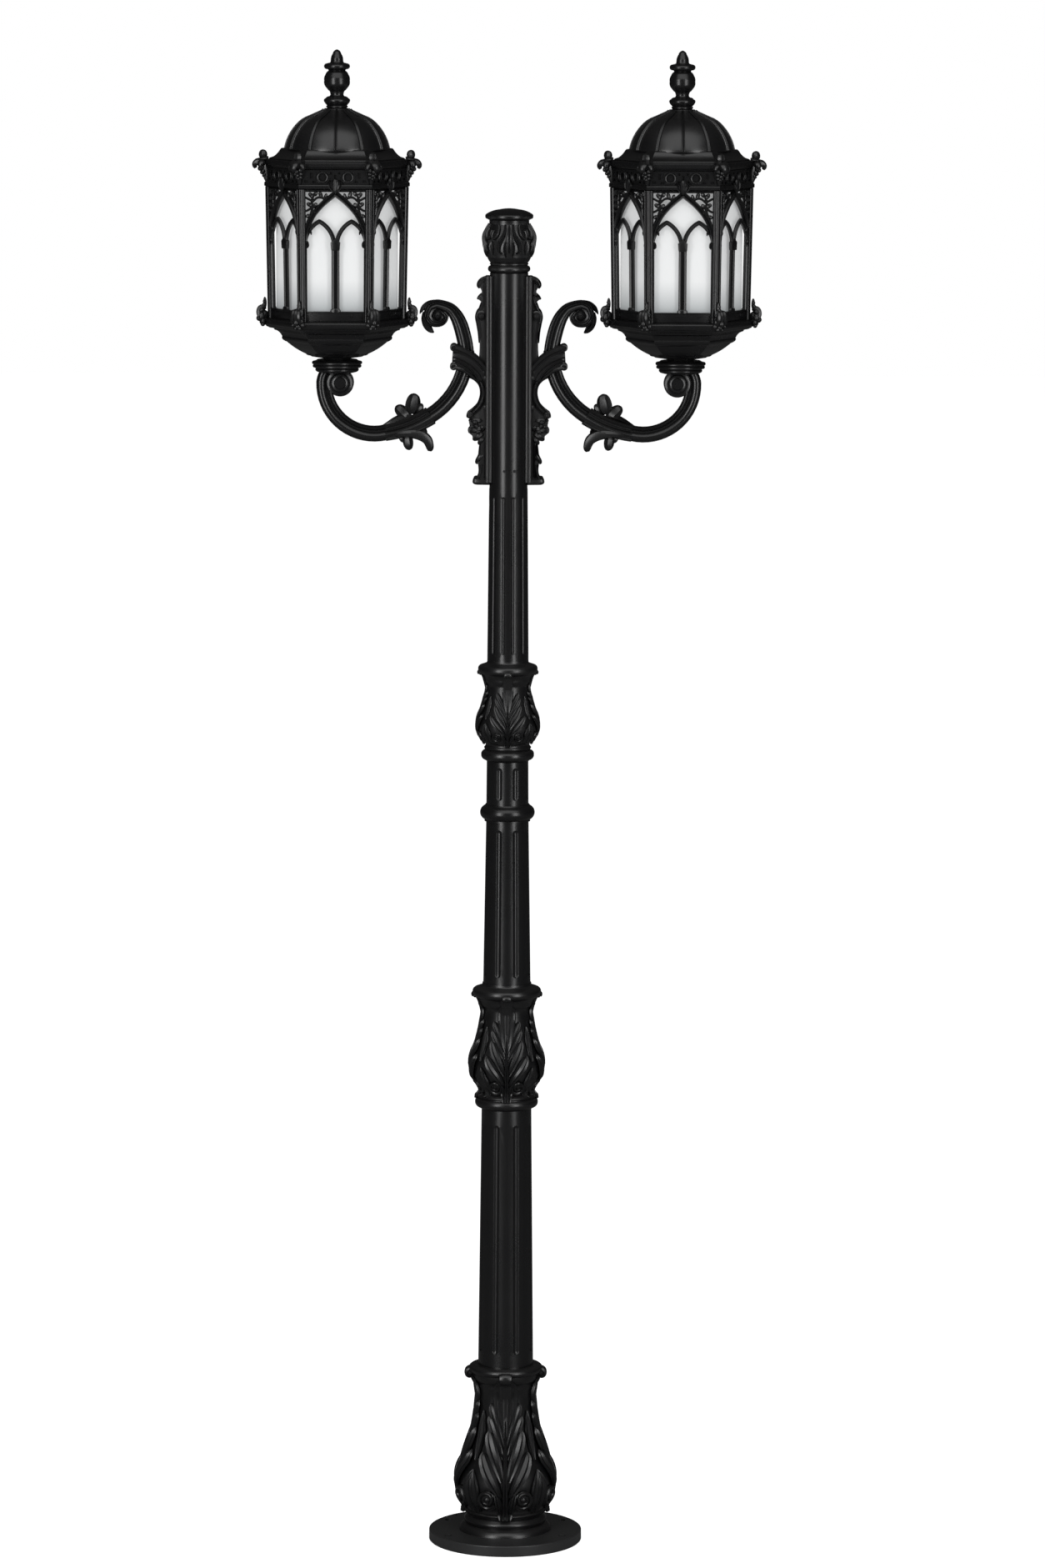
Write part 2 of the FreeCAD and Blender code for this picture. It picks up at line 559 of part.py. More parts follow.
def fluted_shaft(label, foot, height, foot_radius, head_radius, flute, count, end_gap, lap="0"):
    """A tapered tube with round-ended flutes. A lap is the spigot that a sleeve slides over."""
    body = new_body(label)
    flute_radius, flute_depth = flute
    head = f"({foot} + {height})"
    corners = [(foot_radius, foot), (head_radius, head)]
    inner_head = f"({head_radius} - casting_wall)"
    if lap != "0":
        outer_lap = "(sleeve_radius - sleeve_wall - spigot_clearance)"
        inner_head = f"({outer_lap} - casting_wall)"
        corners += [(outer_lap, head), (outer_lap, f"({head} + {lap})"), (inner_head, f"({head} + {lap})")]
    corners += [(inner_head, head), (f"({foot_radius} - casting_wall)", foot)]
    turn(body, "tube", corners)
    sketch = new_sketch(body, "flute_outline")
    slope = f"(({head_radius} - {foot_radius}) / {height})"
    offset = f"({flute_radius} - {flute_depth})"
    low = f"({foot} + {end_gap} + {flute_radius})"
    high = f"({head} - {end_gap} - {flute_radius})"
    low_axis = f"({foot_radius} + {slope} * ({end_gap} + {flute_radius}) + {offset})"
    high_axis = f"({head_radius} - {slope} * ({end_gap} + {flute_radius}) + {offset})"
    draw_outline(sketch, [
        (high_axis, f"({high} + {flute_radius})", quarter_bulge), (f"({high_axis} - {flute_radius})", high),
        (f"({low_axis} - {flute_radius})", low, quarter_bulge), (low_axis, f"({low} - {flute_radius})")])
    groove = body.newObject("PartDesign::Groove", "flute")
    groove.Profile = sketch
    groove.ReferenceAxis = (sketch, ["Edge4"])
    groove.Angle = 360
    repeat_round(body, "flutes", [groove], count)
    body.setExpression("Placement.Rotation.Angle", bound(f"180 / {count}"))
    return body


def post_shafts():
    broad = ("flute_radius", "flute_depth")
    fine = ("fine_flute_radius", "fine_flute_depth")
    fluted_shaft("lower_shaft", lower_shaft_foot, "lower_shaft_height", "lower_shaft_foot_radius",
                 "lower_shaft_head_radius", broad, "broad_flute_count", "flute_end_gap")
    fluted_shaft("middle_shaft", middle_shaft_foot, "middle_shaft_height", "middle_shaft_foot_radius",
                 "middle_shaft_head_radius", broad, "broad_flute_count", "short_flute_gap")
    fluted_shaft("short_shaft", short_shaft_foot, "short_shaft_height", "short_shaft_foot_radius",
                 "short_shaft_head_radius", broad, "broad_flute_count", "spigot_height")
    fluted_shaft("upper_shaft", upper_shaft_foot, "upper_shaft_height", "upper_shaft_foot_radius",
                 "upper_shaft_head_radius", fine, "fine_flute_count", "short_flute_gap", "sleeve_lap")


def top_sleeve():
    body = new_body("top_sleeve")
    head = urn_foot
    inner = "(sleeve_radius - sleeve_wall)"
    turn(body, "tube", [
        (inner, sleeve_foot), ("sleeve_radius", sleeve_foot), ("sleeve_radius", head), (core_bore, head),
        (core_bore, f"({head} - web_thickness)"), (inner, f"({head} - web_thickness)")])
    places = new_sketch(body, "bolt_places", "YZ_Plane")
    for lean, level in bolt_places:
        draw_circle(places, (lean, level), "(bolt_radius + bolt_clearance)")
    extrude(body, "bolt_holes", places, "0", cut=True, symmetric=True, through=True)


def cap():
    urn = new_body("cap_urn")
    turn(urn, "casting", from_shares(urn_shares, "urn_radius", urn_foot, "urn_height")
         + [("0", lid_foot), ("0", urn_foot)])
    turn(urn, "hollow", [
        ("0", f"({urn_foot} - overrun)"), ("urn_cavity_radius", f"({urn_foot} - overrun)"),
        ("urn_cavity_radius", f"({urn_foot} + urn_cavity_height)"),
        ("(lid_spigot_radius + spigot_clearance)", f"({lid_foot} - lid_spigot_height - lid_spigot_gap)"),
        ("(lid_spigot_radius + spigot_clearance)", f"({lid_foot} + overrun)"),
        ("0", f"({lid_foot} + overrun)")], cut=True)
    lid = new_body("cap_lid")
    spigot_foot = f"({lid_foot} - lid_spigot_height)"
    turn(lid, "casting", [("0", spigot_foot), ("lid_spigot_radius", spigot_foot),
                          ("lid_spigot_radius", lid_foot)]
         + from_shares(lid_shares, "lid_radius", lid_foot, "lid_height"))


def front_screws():
    """The set screws in the post's front: casting, offset across, level, outer end and inner tip."""
    sleeve_level = f"({sleeve_foot} + sleeve_screw_level)"
    lap_radius = value("sleeve_radius - sleeve_wall - spigot_clearance")
    radius = value("screw_radius")
    places = []
    for offset in ("(0 - sleeve_screw_left)", "sleeve_screw_right"):
        nearest = abs(value(offset)) - radius
        tip = math.sqrt(lap_radius ** 2 - nearest ** 2) + value("thread_clearance")
        places.append(("top_sleeve", offset, sleeve_level, value("sleeve_radius + screw_proud"), tip))
    core = value("core_radius + thread_clearance")
    places.append(("upper_leaf_collar", "0", f"({upper_collar_foot} + collar_screw_level)",
                   value("collar_screw_outer"), core))
    places.append(("base_vase", "0", f"({vase_foot} + base_screw_level)", value("base_screw_outer"), core))
    return places


def drill_for_screws():
    """A hole towards the front in every casting that a set screw passes through."""
    for number, (label, across, level, outer, tip) in enumerate(front_screws()):
        body = document.getObject(label)
        sketch = new_sketch(body, f"screw_place_{number}")
        draw_circle(sketch, (across, level), "(screw_radius + thread_clearance)")
        before = body.Shape.Volume
        hole = extrude(body, f"screw_hole_{number}", sketch, "vase_belly_radius", cut=True)
        hole.Reversed = True
        document.recompute()
        if body.Shape.Volume >= before:
            raise RuntimeError(f"{label} has no screw hole")


def fixing_screws():
    drill_for_screws()
    screws = []
    for label, across, level, outer, tip in front_screws():
        start = vector(value(across), -outer, value(level))
        screws.append(rod(value("screw_radius"), outer - tip, start, vector(0, 1, 0)))
    solid_feature("fixing_screws", Part.makeCompound(screws))


# Brackets and arms

bracket_outline_shares = [
    # From the foot up the ornamental edge: share of the reach, share of the height, bulge
    (0.00, 0.000), (0.88, 0.000, 0.50), (0.92, 0.030), (0.48, 0.036), (0.62, 0.062, 0.35), (0.62, 0.078),
    (0.42, 0.084), (0.38, 0.120), (0.80, 0.150), (0.96, 0.172), (0.97, 0.198), (1.00, 0.222, 0.50),
    (0.86, 0.248), (0.62, 0.262, -0.12), (0.38, 0.310), (0.42, 0.390, -0.10), (0.88, 0.470),
    (0.88, 0.570), (0.62, 0.620), (0.66, 0.650, 0.30), (0.55, 0.690), (0.36, 0.740), (0.30, 0.790),
    (0.62, 0.820, 0.50), (0.52, 0.870), (0.30, 0.905), (0.55, 0.930, 0.40), (0.50, 0.965),
    (0.36, 0.985), (0.30, 1.000), (0.00, 1.000)]


def bracket(arm, collar):
    """Cast bracket beside the sleeve, cut free of the arm and its collar."""
    foot = value(f"{sleeve_foot} + bracket_foot_gap")
    height = value("bracket_height")
    back = value("bracket_back")
    front = value("bracket_front")
    depth = value("bracket_depth")
    reach = value("bracket_reach")
    sleeve_hole = rod(value("sleeve_radius + bracket_clearance"), height + value("2 * overrun"),
                      vector(0, 0, foot - value("overrun")), vector(0, 0, 1))
    strip = Part.makeBox(back - front, depth, height, vector(front, -depth / 2, foot))
    points = []
    for share in bracket_outline_shares:
        across = back + share[0] * reach if share[0] else back - value("casting_wall")
        points.append((across, foot + share[1] * height) + tuple(share[2:]))
    web = plate_from(points, value("bracket_web_depth"))
    casting = strip.fuse(web).cut(sleeve_hole).cut(arm).cut(collar)
    head_seat = back - value("bolt_head_height") / 2
    along = vector(1, 0, 0)
    for lean, level in bolt_places:
        place = vector(0, value(lean), value(level))
        hole = rod(value("bolt_radius + bolt_clearance"), back, place, along)
        seat = rod(value("bolt_head_radius + bolt_clearance"), reach + back,
                   place + along * head_seat, along)
        casting = casting.cut(hole).cut(seat)
    return max(casting.Solids, key=lambda solid: solid.Volume)


def bracket_bolts():
    """Socket screws through both brackets into the sleeve."""
    bolts = []
    head_seat = value("bracket_back - bolt_head_height / 2")
    tip = value("bolt_tip_distance")
    for side in (-1, 1):
        along = vector(side, 0, 0)
        for lean, level in bolt_places:
            place = vector(0, value(lean), value(level))
            shank = rod(value("bolt_radius"), head_seat - tip, place + along * tip, along)
            head = rod(value("bolt_head_radius"), value("bolt_head_height"),
                       place + along * head_seat, along)
            bolts.append(shank.fuse(head))
    solid_feature("bracket_bolts", Part.makeCompound(bolts))


def arm_section(sketch, grown="0"):
    """Chamfered bar section about the arm's root, as wide and deep as the arm plus a margin."""
    half_width = f"(arm_width / 2 + {grown})"
    half_depth = f"(arm_depth / 2 + {grown})"
    corners = []
    for across, up in ((1, 1), (-1, 1), (-1, -1), (1, -1)):
        near = (f"(arm_root_distance + {across} * {half_width})",
                f"({up} * ({half_depth} - arm_chamfer))")
        far = (f"(arm_root_distance + {across} * ({half_width} - arm_chamfer))",
               f"({up} * {half_depth})")
        corners += [near, far] if across * up > 0 else [far, near]
    draw_outline(sketch, corners)


def arm_path(body, name, heading, arcs):
    """Tangent arcs in the XZ plane, each held at both ends and by its radius."""
    sketch = new_sketch(body, name)
    place = arm_root
    for radius, turn in arcs:
        following = chain_end(place, heading, [(radius, turn)])
        side = -1 if turn.startswith("-") else 1
        centre = vector(value(f"{place[0]} - {side} * {radius} * sin({heading})"),
                        value(f"{place[1]} + {side} * {radius} * cos({heading})"), 0)
        first, last = (place, following) if side > 0 else (following, place)
        angles = [math.atan2(value(point[1]) - centre.y, value(point[0]) - centre.x)
                  for point in (first, last)]
        if angles[1] < angles[0]:
            angles[1] += 2 * math.pi
        circle = Part.Circle(centre, vector(0, 0, 1), value(radius))
        geometry = sketch.addGeometry(Part.ArcOfCircle(circle, angles[0], angles[1]))
        fix_point(sketch, geometry, 1, *first[:2])
        fix_point(sketch, geometry, 2, *last[:2])
        index = sketch.addConstraint(Sketcher.Constraint("Radius", geometry, value(radius)))
        sketch.setExpression(f"Constraints[{index}]", bound(radius))
        place, heading = following[:2], following[2]
    return sketch


def disc(body, name, centre, radius, depth):
    """A round boss across the arm, centred on the XZ plane."""
    sketch = new_sketch(body, name + "_outline")
    draw_circle(sketch, centre, radius)
    return extrude(body, name, sketch, depth, symmetric=True)


def arm():
    """Cast arm: a bar swept along tangent arcs, with a scroll above and a volute under the lantern."""
    body = new_body("right_arm")
    for name, heading, arcs in (("drop", "(0 - 90)", lower_arcs), ("crook", "90", upper_arcs)):
        section = new_sketch(body, name + "_section", "XY_Plane", arm_root[1])
        arm_section(section)
        path = arm_path(body, name + "_path", heading, arcs)
        pipe = body.newObject("PartDesign::AdditivePipe", name)
        pipe.Profile = section
        pipe.Spine = (path, [f"Edge{number}" for number in range(1, len(arcs) + 1)])
    disc(body, "scroll", scroll_centre, "scroll_radius", "scroll_depth")
    disc(body, "scroll_boss", scroll_centre, "scroll_boss_radius", "scroll_boss_depth")
    disc(body, "volute", volute_centre, "volute_radius", "volute_depth")
    disc(body, "volute_boss", volute_centre, "volute_boss_radius", "volute_boss_depth")
    flat = new_sketch(body, "seat_outline")
    near = f"({volute_centre[0]} - 2 * arm_width)"
    far = f"({volute_centre[0]} + 2 * arm_width)"
    top = f"({saddle_foot} + 2 * arm_width)"
    draw_outline(flat, [(near, saddle_foot), (far, saddle_foot), (far, top), (near, top)])
    extrude(body, "seat", flat, "2 * arm_depth", cut=True, symmetric=True)
    hole = new_sketch(body, "nipple_place", "XY_Plane", saddle_foot)
    draw_circle(hole, (lantern_reach, "0"), "(nipple_radius + thread_clearance)")
    extrude(body, "nipple_hole", hole, "nipple_depth", cut=True)
    return body


def arm_collar(bar):
    """Band round the arm at its root, with a lip at each end, cut to the bar."""
    width = value("arm_width + 2 * collar_wall")
    depth = value("arm_depth + 2 * collar_wall")
    height = value("collar_height")
    lip = value("collar_lip")
    lip_height = value("collar_lip_height")
    centre = value("arm_root_distance + collar_shift")
    level = value(f"{arm_root[1]} - collar_drop") - height / 2
    band = Part.makeBox(width, depth, height, vector(centre - width / 2, -depth / 2, level))
    for lip_level in (level, level + height - lip_height):
        band = band.fuse(Part.makeBox(width + 2 * lip, depth + 2 * lip, lip_height,
                                      vector(centre - width / 2 - lip, -depth / 2 - lip, lip_level)))
    band = band.makeFillet(value("collar_edge_radius"), band.Edges)
    return max(band.cut(bar).Solids, key=lambda solid: solid.Volume)


clasp_leaf_shares = [
    # The curled leaf under the clasp, from its root: share of its length, share of its height, bulge
    (1.00, 0.35), (0.80, 0.10, 0.15), (0.35, -0.20, 0.20), (0.10, -0.80), (0.04, -1.00, 0.45),
    (-0.08, -0.60, 0.20), (0.10, 0.10), (0.30, 0.45)]


# Each bud's share of the clasp's turn, and whether it sits on top of the bar (-1) or under it (1)
bud_shares = [(0.42, -1), (0.68, -1), (0.40, 1)]


def leaf_clasp(bar):
    """Leaf sheath on the arm where the bow starts, with a curled leaf below and two buds above."""
    centre = vector(value(bow_centre[0]), 0, value(bow_centre[1]))
    start = vector(value(bow_start[0]), 0, value(bow_start[1]))
    outward = (start - centre).normalize()
    wall = value("clasp_wall")
    half_width = value("arm_width") / 2 + wall
    half_depth = value("arm_depth") / 2 + wall
    chamfer = value("arm_chamfer")
    corners = []
    for across, up in ((1, 1), (-1, 1), (-1, -1), (1, -1)):
        near = (across * half_width, up * (half_depth - chamfer))
        far = (across * (half_width - chamfer), up * half_depth)
        corners += [near, far] if across * up > 0 else [far, near]
    places = [start + outward * across + vector(0, up, 0) for across, up in corners]
    section = Part.Face(Part.makePolygon(places + places[:1]))
    clasp = section.revolve(centre, vector(0, -1, 0), value("clasp_turn"))
    length = value("clasp_leaf_length")
    height = value("clasp_leaf_height")
    leaf_root = start + outward * value("arm_width / 2")
    leaf = plate_from([(leaf_root.x + share[0] * length, leaf_root.z + share[1] * height) + tuple(share[2:])
                       for share in clasp_leaf_shares], value("clasp_leaf_depth"))
    clasp = clasp.fuse(leaf)
    bud_radius = value("clasp_bud_radius")
    for share, outside in bud_shares:
        bearing = FreeCAD.Rotation(vector(0, -1, 0), share * value("clasp_turn"))
        reach = value("arm_bow_radius") + outside * (half_width + bud_radius / 3)
        clasp = clasp.fuse(Part.makeSphere(bud_radius, centre + bearing.multVec(outward) * reach))
    return max(clasp.cut(bar).Solids, key=lambda solid: solid.Volume)


def arms_and_brackets():
    casting = arm()
    document.recompute()
    bar = casting.Shape
    collar = arm_collar(bar)
    turned_copies([casting, solid_feature("right_arm_collar", collar),
                   solid_feature("right_leaf_clasp", leaf_clasp(bar)),
                   solid_feature("right_bracket", bracket(bar, collar))])


# Lantern pieces, modelled about the post's axis and moved out to the right arm

def saddle():
    body = new_body("right_saddle")
    corners = from_shares(saddle_shares, "saddle_radius", saddle_foot, "saddle_height")
    hole = "(nipple_radius + thread_clearance)"
    turn(body, "casting", corners + [(hole, lock_nut_foot), (hole, saddle_foot)])
    return body


def nipple():
    body = new_body("right_nipple")
    foot = f"({saddle_foot} - nipple_depth)"
    head = f"({bowl_foot} + bowl_wall + lock_nut_height + nipple_proud)"
    turn(body, "tube", [("nipple_bore_radius", foot), ("nipple_radius", foot),
                        ("nipple_radius", head), ("nipple_bore_radius", head)])
    return body


def lock_nut():
    """Hexagon nuts under and over the bowl's floor."""
    height = value("lock_nut_height")
    nuts = []
    for level in (value(lock_nut_foot), value(f"{bowl_foot} + bowl_wall")):
        hole = rod(value("nipple_radius + thread_clearance"), height, vector(0, 0, level), vector(0, 0, 1))
        nuts.append(hexagon_prism(value("lock_nut_width"), height, level).cut(hole))
    return solid_feature("right_lock_nut", Part.makeCompound(nuts))


def bowl():
    body = new_body("right_bowl")
    levels = [(f"({share} * bowl_radius)", f"({bowl_foot} + {height} * bowl_height)")
              for share, height in bowl_shares]
    hexagonal(body, "casting", levels)
    inner = "bowl_wall / cos(30)"
    hollow = [(f"({bowl_shares[1][0]} * bowl_radius - {inner})", f"({bowl_foot} + bowl_wall)")]
    hollow += [(f"({share} * bowl_radius - {inner})", f"({bowl_foot} + {height} * bowl_height)")
               for share, height in bowl_shares[3:]]
    hollow.append((f"(bowl_radius - {inner})", f"({sill_foot} + overrun)"))
    hexagonal(body, "hollow", hollow, cut=True)
    bore(body, "nipple_hole", "(nipple_radius + thread_clearance)", f"({bowl_foot} - overrun)",
         f"({bowl_foot} + bowl_wall + overrun)")
    return body


def sill():
    body = new_body("right_sill")
    levels = [(f"({share} * sill_radius)", f"({sill_foot} + {height} * sill_height)")
              for share, height in sill_shares]
    hexagonal(body, "casting", levels)
    bore(body, "opening", "sill_hole_radius", f"({sill_foot} - overrun)", f"({cage_foot} + overrun)")
    return body


# The cage's outer radius across its corners at its foot and at its head
cage_levels = [("cage_foot_radius", cage_foot), ("cage_head_radius", cornice_foot)]


def corner_posts():
    """Six angle posts: the corners that stay of a tapered hexagonal shell."""
    body = new_body("right_corner_posts")
    hexagonal(body, "shell", cage_levels)
    hexagonal(body, "inside", [(f"({radius} - post_thickness / cos(30))", level)
                               for radius, level in cage_levels], cut=True)
    outline = new_sketch(body, "gap_outline")
    edges = [(f"({radius} / 2 - post_arm)", level) for radius, level in cage_levels]
    draw_outline(outline, edges + [(f"(0 - {across})", level) for across, level in reversed(edges)])
    gap = extrude(body, "gap", outline, "0", cut=True, symmetric=True, through=True)
    repeat_round(body, "gaps", [gap], 3, angle=120)
    return body


def panel_windows(body):
    """Two lancets, the eye between the arches and two spandrels, in one sketch."""
    sketch = new_sketch(body, "windows")
    rail = f"({cage_foot} + bottom_rail_height)"
    spring = f"({rail} + lancet_height)"
    edge = "opening_half_width"
    inner = "(mullion_width / 2)"
    middle = f"(({edge} + {inner}) / 2)"
    apex = f"({spring} + ({edge} - {inner}) * cos(30))"
    lancet = [(inner, rail), (edge, rail), (edge, spring, sixth_bulge), (middle, apex, sixth_bulge),
              (inner, spring)]
    shoulder = f"({cage_foot} + eye_shoulder_height)"
    eye = [("0", f"({cage_foot} + eye_foot_height)", -0.15), ("eye_shoulder_distance", shoulder, 0.08),
           ("0", f"({cage_foot} + eye_apex_height)", 0.08),
           ("(0 - eye_shoulder_distance)", shoulder, -0.15)]
    top = f"({cage_foot} + spandrel_top_height)"
    spandrel = [("spandrel_edge", f"({cage_foot} + spandrel_foot_height)"), ("spandrel_edge", top),
                ("spandrel_tip_distance", top, -0.06)]
    draw_outline(sketch, eye)
    for shape in (lancet, spandrel):
        draw_outline(sketch, shape)
        mirrored = []
        for index in range(len(shape)):
            corner = shape[-index]
            previous = shape[-index - 1]
            bulge = tuple(previous[2:])
            mirrored.append((f"(0 - {corner[0]})", corner[1]) + bulge)
        draw_outline(sketch, mirrored)
    return sketch


def post_notch(body, name, radius, level):
    """Kite that clears one corner post and its gap, across the whole wall of the cage."""
    sketch = new_sketch(body, name, "XY_Plane", level)
    arm_across = f"({radius} - (post_arm + panel_gap) * cos(60))"
    arm_up = "((post_arm + panel_gap) * sin(60))"
    depth = "(post_thickness + 2 * overrun)"
    outer = (f"({arm_across} + post_thickness * cos(30))", f"({arm_up} + post_thickness * sin(30))")
    inner = (f"({arm_across} - {depth} * cos(30))", f"({arm_up} - {depth} * sin(30))")
    draw_outline(sketch, [(f"({radius} + 2 * post_thickness)", "0"), outer, inner,
                          (inner[0], f"(0 - {inner[1]})"), (outer[0], f"(0 - {outer[1]})")])
    return sketch


def tracery():
    """Six traceried panels between the corner posts, cut from one tapered hexagonal shell."""
    body = new_body("right_tracery")
    inner = "(panel_inset + panel_thickness) / cos(30)"
    hexagonal(body, "shell", [(f"({radius} - panel_inset / cos(30))", level)
                              for radius, level in cage_levels])
    hexagonal(body, "inside", [(f"({radius} - {inner})", level) for radius, level in cage_levels], cut=True)
    windows = extrude(body, "window_cut", panel_windows(body), "0", cut=True, symmetric=True, through=True)
    repeat_round(body, "window_cuts", [windows], 3, angle=120)
    sections = [post_notch(body, name, radius, level)
                for name, (radius, level) in zip(("cut_foot", "cut_head"), cage_levels)]
    notch = body.newObject("PartDesign::SubtractiveLoft", "post_notch")
    notch.Profile = sections[0]
    notch.Sections = sections[1:]
    notch.Ruled = True
    repeat_round(body, "post_notches", [notch], 6)
    return body


def cornice():
    body = new_body("right_cornice")
    levels = [(f"({share} * cornice_radius)", f"({cornice_foot} + {height} * cornice_height)")
              for share, height in cornice_shares]
    hexagonal(body, "casting", levels)
    bore(body, "throat", "cornice_throat_radius", f"({cornice_foot} - overrun)",
         f"({eave_level} + overrun)")
    hexagonal(body, "opening", [("cornice_opening_radius", bar_foot),
                                ("cornice_opening_radius", f"({eave_level} + overrun)")], cut=True)
    return body


def dome_outline(grown):
    """The dome's outer line from its foot to its neck, grown outwards by a length."""
    corners = []
    for share in dome_shares:
        corners.append((f"({share[0]} * dome_radius + {grown})",
                        f"({dome_foot} + {share[1]} * dome_height)") + tuple(share[2:]))
    return corners


def roof():
    body = new_body("right_roof")
    levels = [(f"(roof_ledge_radius + {share} * (roof_flange_radius - roof_ledge_radius))",
               f"({roof_foot} + {height} * roof_skirt_height)") for share, height in skirt_shares]
    hexagonal(body, "skirt", levels)
    neck = f"({dome_foot} + dome_height)"
    turn(body, "dome", dome_outline("0") + [("dome_neck_radius", neck), ("0", neck), ("0", dome_foot)])
    rib_outline = new_sketch(body, "rib_outline")
    inner = [(f"({share[0]} * dome_radius - dome_wall / 2)", f"({dome_foot} + {share[1]} * dome_height)")
             for share in reversed(dome_shares)]
    draw_outline(rib_outline, dome_outline("rib_height") + inner)
    rib = body.newObject("PartDesign::Revolution", "rib")
    rib.Profile = rib_outline
    rib.ReferenceAxis = (rib_outline, ["V_Axis"])
    rib.Midplane = True
    rib.setExpression("Angle", bound("rib_angle"))
    repeat_round(body, "ribs", [rib], "rib_count")
    lip_radius = "(cornice_opening_radius - roof_lip_clearance / cos(30))"
    hexagonal(body, "lip", [(lip_radius, f"({roof_foot} - roof_lip_height)"),
                            (lip_radius, f"({roof_foot} + overrun)")])
    bottom = f"({roof_foot} - roof_lip_height - overrun)"
    ceiling = f"({neck} - 2 * dome_wall)"
    hole = "(stud_radius + roof_travel_clearance)"
    inside = [("0", bottom), ("(dome_radius - dome_wall)", bottom)]
    inside += [(f"({share[0]} * dome_radius - dome_wall)",
                f"({dome_foot} + {share[1]} * dome_height - {share[1]} * dome_wall)") + tuple(share[2:])
               for share in dome_shares[:-1]]
    inside += [(hole, ceiling), (hole, f"({neck} + overrun)"), ("0", f"({neck} + overrun)")]
    turn(body, "hollow", inside, cut=True)
    return body


def finial():
    body = new_body("right_finial")
    turn(body, "casting", from_shares(finial_shares, "finial_radius", finial_foot, "finial_height")
         + [("0", finial_foot)])
    bore(body, "thread", "(stud_radius + stud_clearance)", f"({finial_foot} - overrun)",
         f"({finial_foot} + finial_bore_depth)")
    return body


def lamp_tray():
    body = new_body("right_lamp_tray")
    head = f"({cage_foot} + tray_thickness)"
    turn(body, "disc", [("tray_hole_radius", cage_foot), ("tray_radius", cage_foot),
                        ("tray_radius", head), ("tray_hole_radius", head)])
    return body


def diffuser():
    """Opal cylinder, open at the top, with a rounded foot and a hole for the lamp holder."""
    body = new_body("right_diffuser")
    foot = diffuser_foot
    head = f"({foot} + diffuser_height)"
    inner = "(diffuser_radius - diffuser_wall)"
    turn(body, "shell", [
        ("diffuser_hole_radius", foot), ("(diffuser_radius - diffuser_corner)", foot, quarter_bulge),
        ("diffuser_radius", f"({foot} + diffuser_corner)"), ("diffuser_radius", head), (inner, head),
        (inner, f"({foot} + diffuser_corner)", -quarter_bulge),
        ("(diffuser_radius - diffuser_corner)", f"({foot} + diffuser_wall)"),
        ("diffuser_hole_radius", f"({foot} + diffuser_wall)")])
    return body


holder_seat = f"({diffuser_foot} + holder_floor)"


def lamp_holder():
    body = new_body("right_lamp_holder")
    head = f"({diffuser_foot} + holder_height)"
    inner = "(bulb_cap_radius + holder_clearance)"
    turn(body, "shell", [("0", diffuser_foot), ("holder_radius", diffuser_foot), ("holder_radius", head),
                         (inner, head), (inner, holder_seat), ("0", holder_seat)])
    return body


def bulb_cap():
    body = new_body("right_bulb_cap")
    foot = f"({holder_seat} + holder_clearance)"
    head = f"({foot} + bulb_cap_height)"
    turn(body, "shell", [("0", foot), ("bulb_contact_radius", foot),
                         ("bulb_cap_radius", f"({foot} + bulb_cap_taper)"),
                         ("bulb_cap_radius", head), ("0", head)])
    return body


def bulb():
    body = new_body("right_bulb")
    foot = f"({holder_seat} + holder_clearance + bulb_cap_height)"
    turn(body, "glass", from_shares(bulb_shares, "bulb_radius", foot, "bulb_height") + [("0", foot)])
    return body


def bridge_bar():
    """Flat bar across two corner ledges of the cornice, with the stud that the finial screws on."""
    half_length = value("bar_half_length")
    width = value("bar_width")
    thickness = value("bar_thickness")
    level = value(bar_foot)
    bar = Part.makeBox(2 * half_length, width, thickness, vector(-half_length, -width / 2, level))
    top = value(f"{finial_foot} + finial_bore_depth - stud_end_gap")
    stud = rod(value("stud_radius"), top - level, vector(0, 0, level), vector(0, 0, 1))
    return solid_feature("right_bridge_bar", bar.fuse(stud))


def crockets(label, outline_shares, inner, foot, reach, height, neighbours):
    """Six leaf crockets, one at each corner, cut to what carries them."""
    points = [(inner + share[0] * reach, foot + share[1] * height) + tuple(share[2:])
              for share in outline_shares]
    crocket = plate_from(points, value("crocket_thickness"))
    for neighbour in neighbours:
        crocket = crocket.cut(neighbour)
    crocket = max(crocket.Solids, key=lambda solid: solid.Volume)
    copies = []
    for step in range(6):
        copy = crocket.copy()
        copy.rotate(vector(0, 0, 0), vector(0, 0, 1), 60 * step)
        copies.append(copy)
    return solid_feature(label, Part.makeCompound(copies))


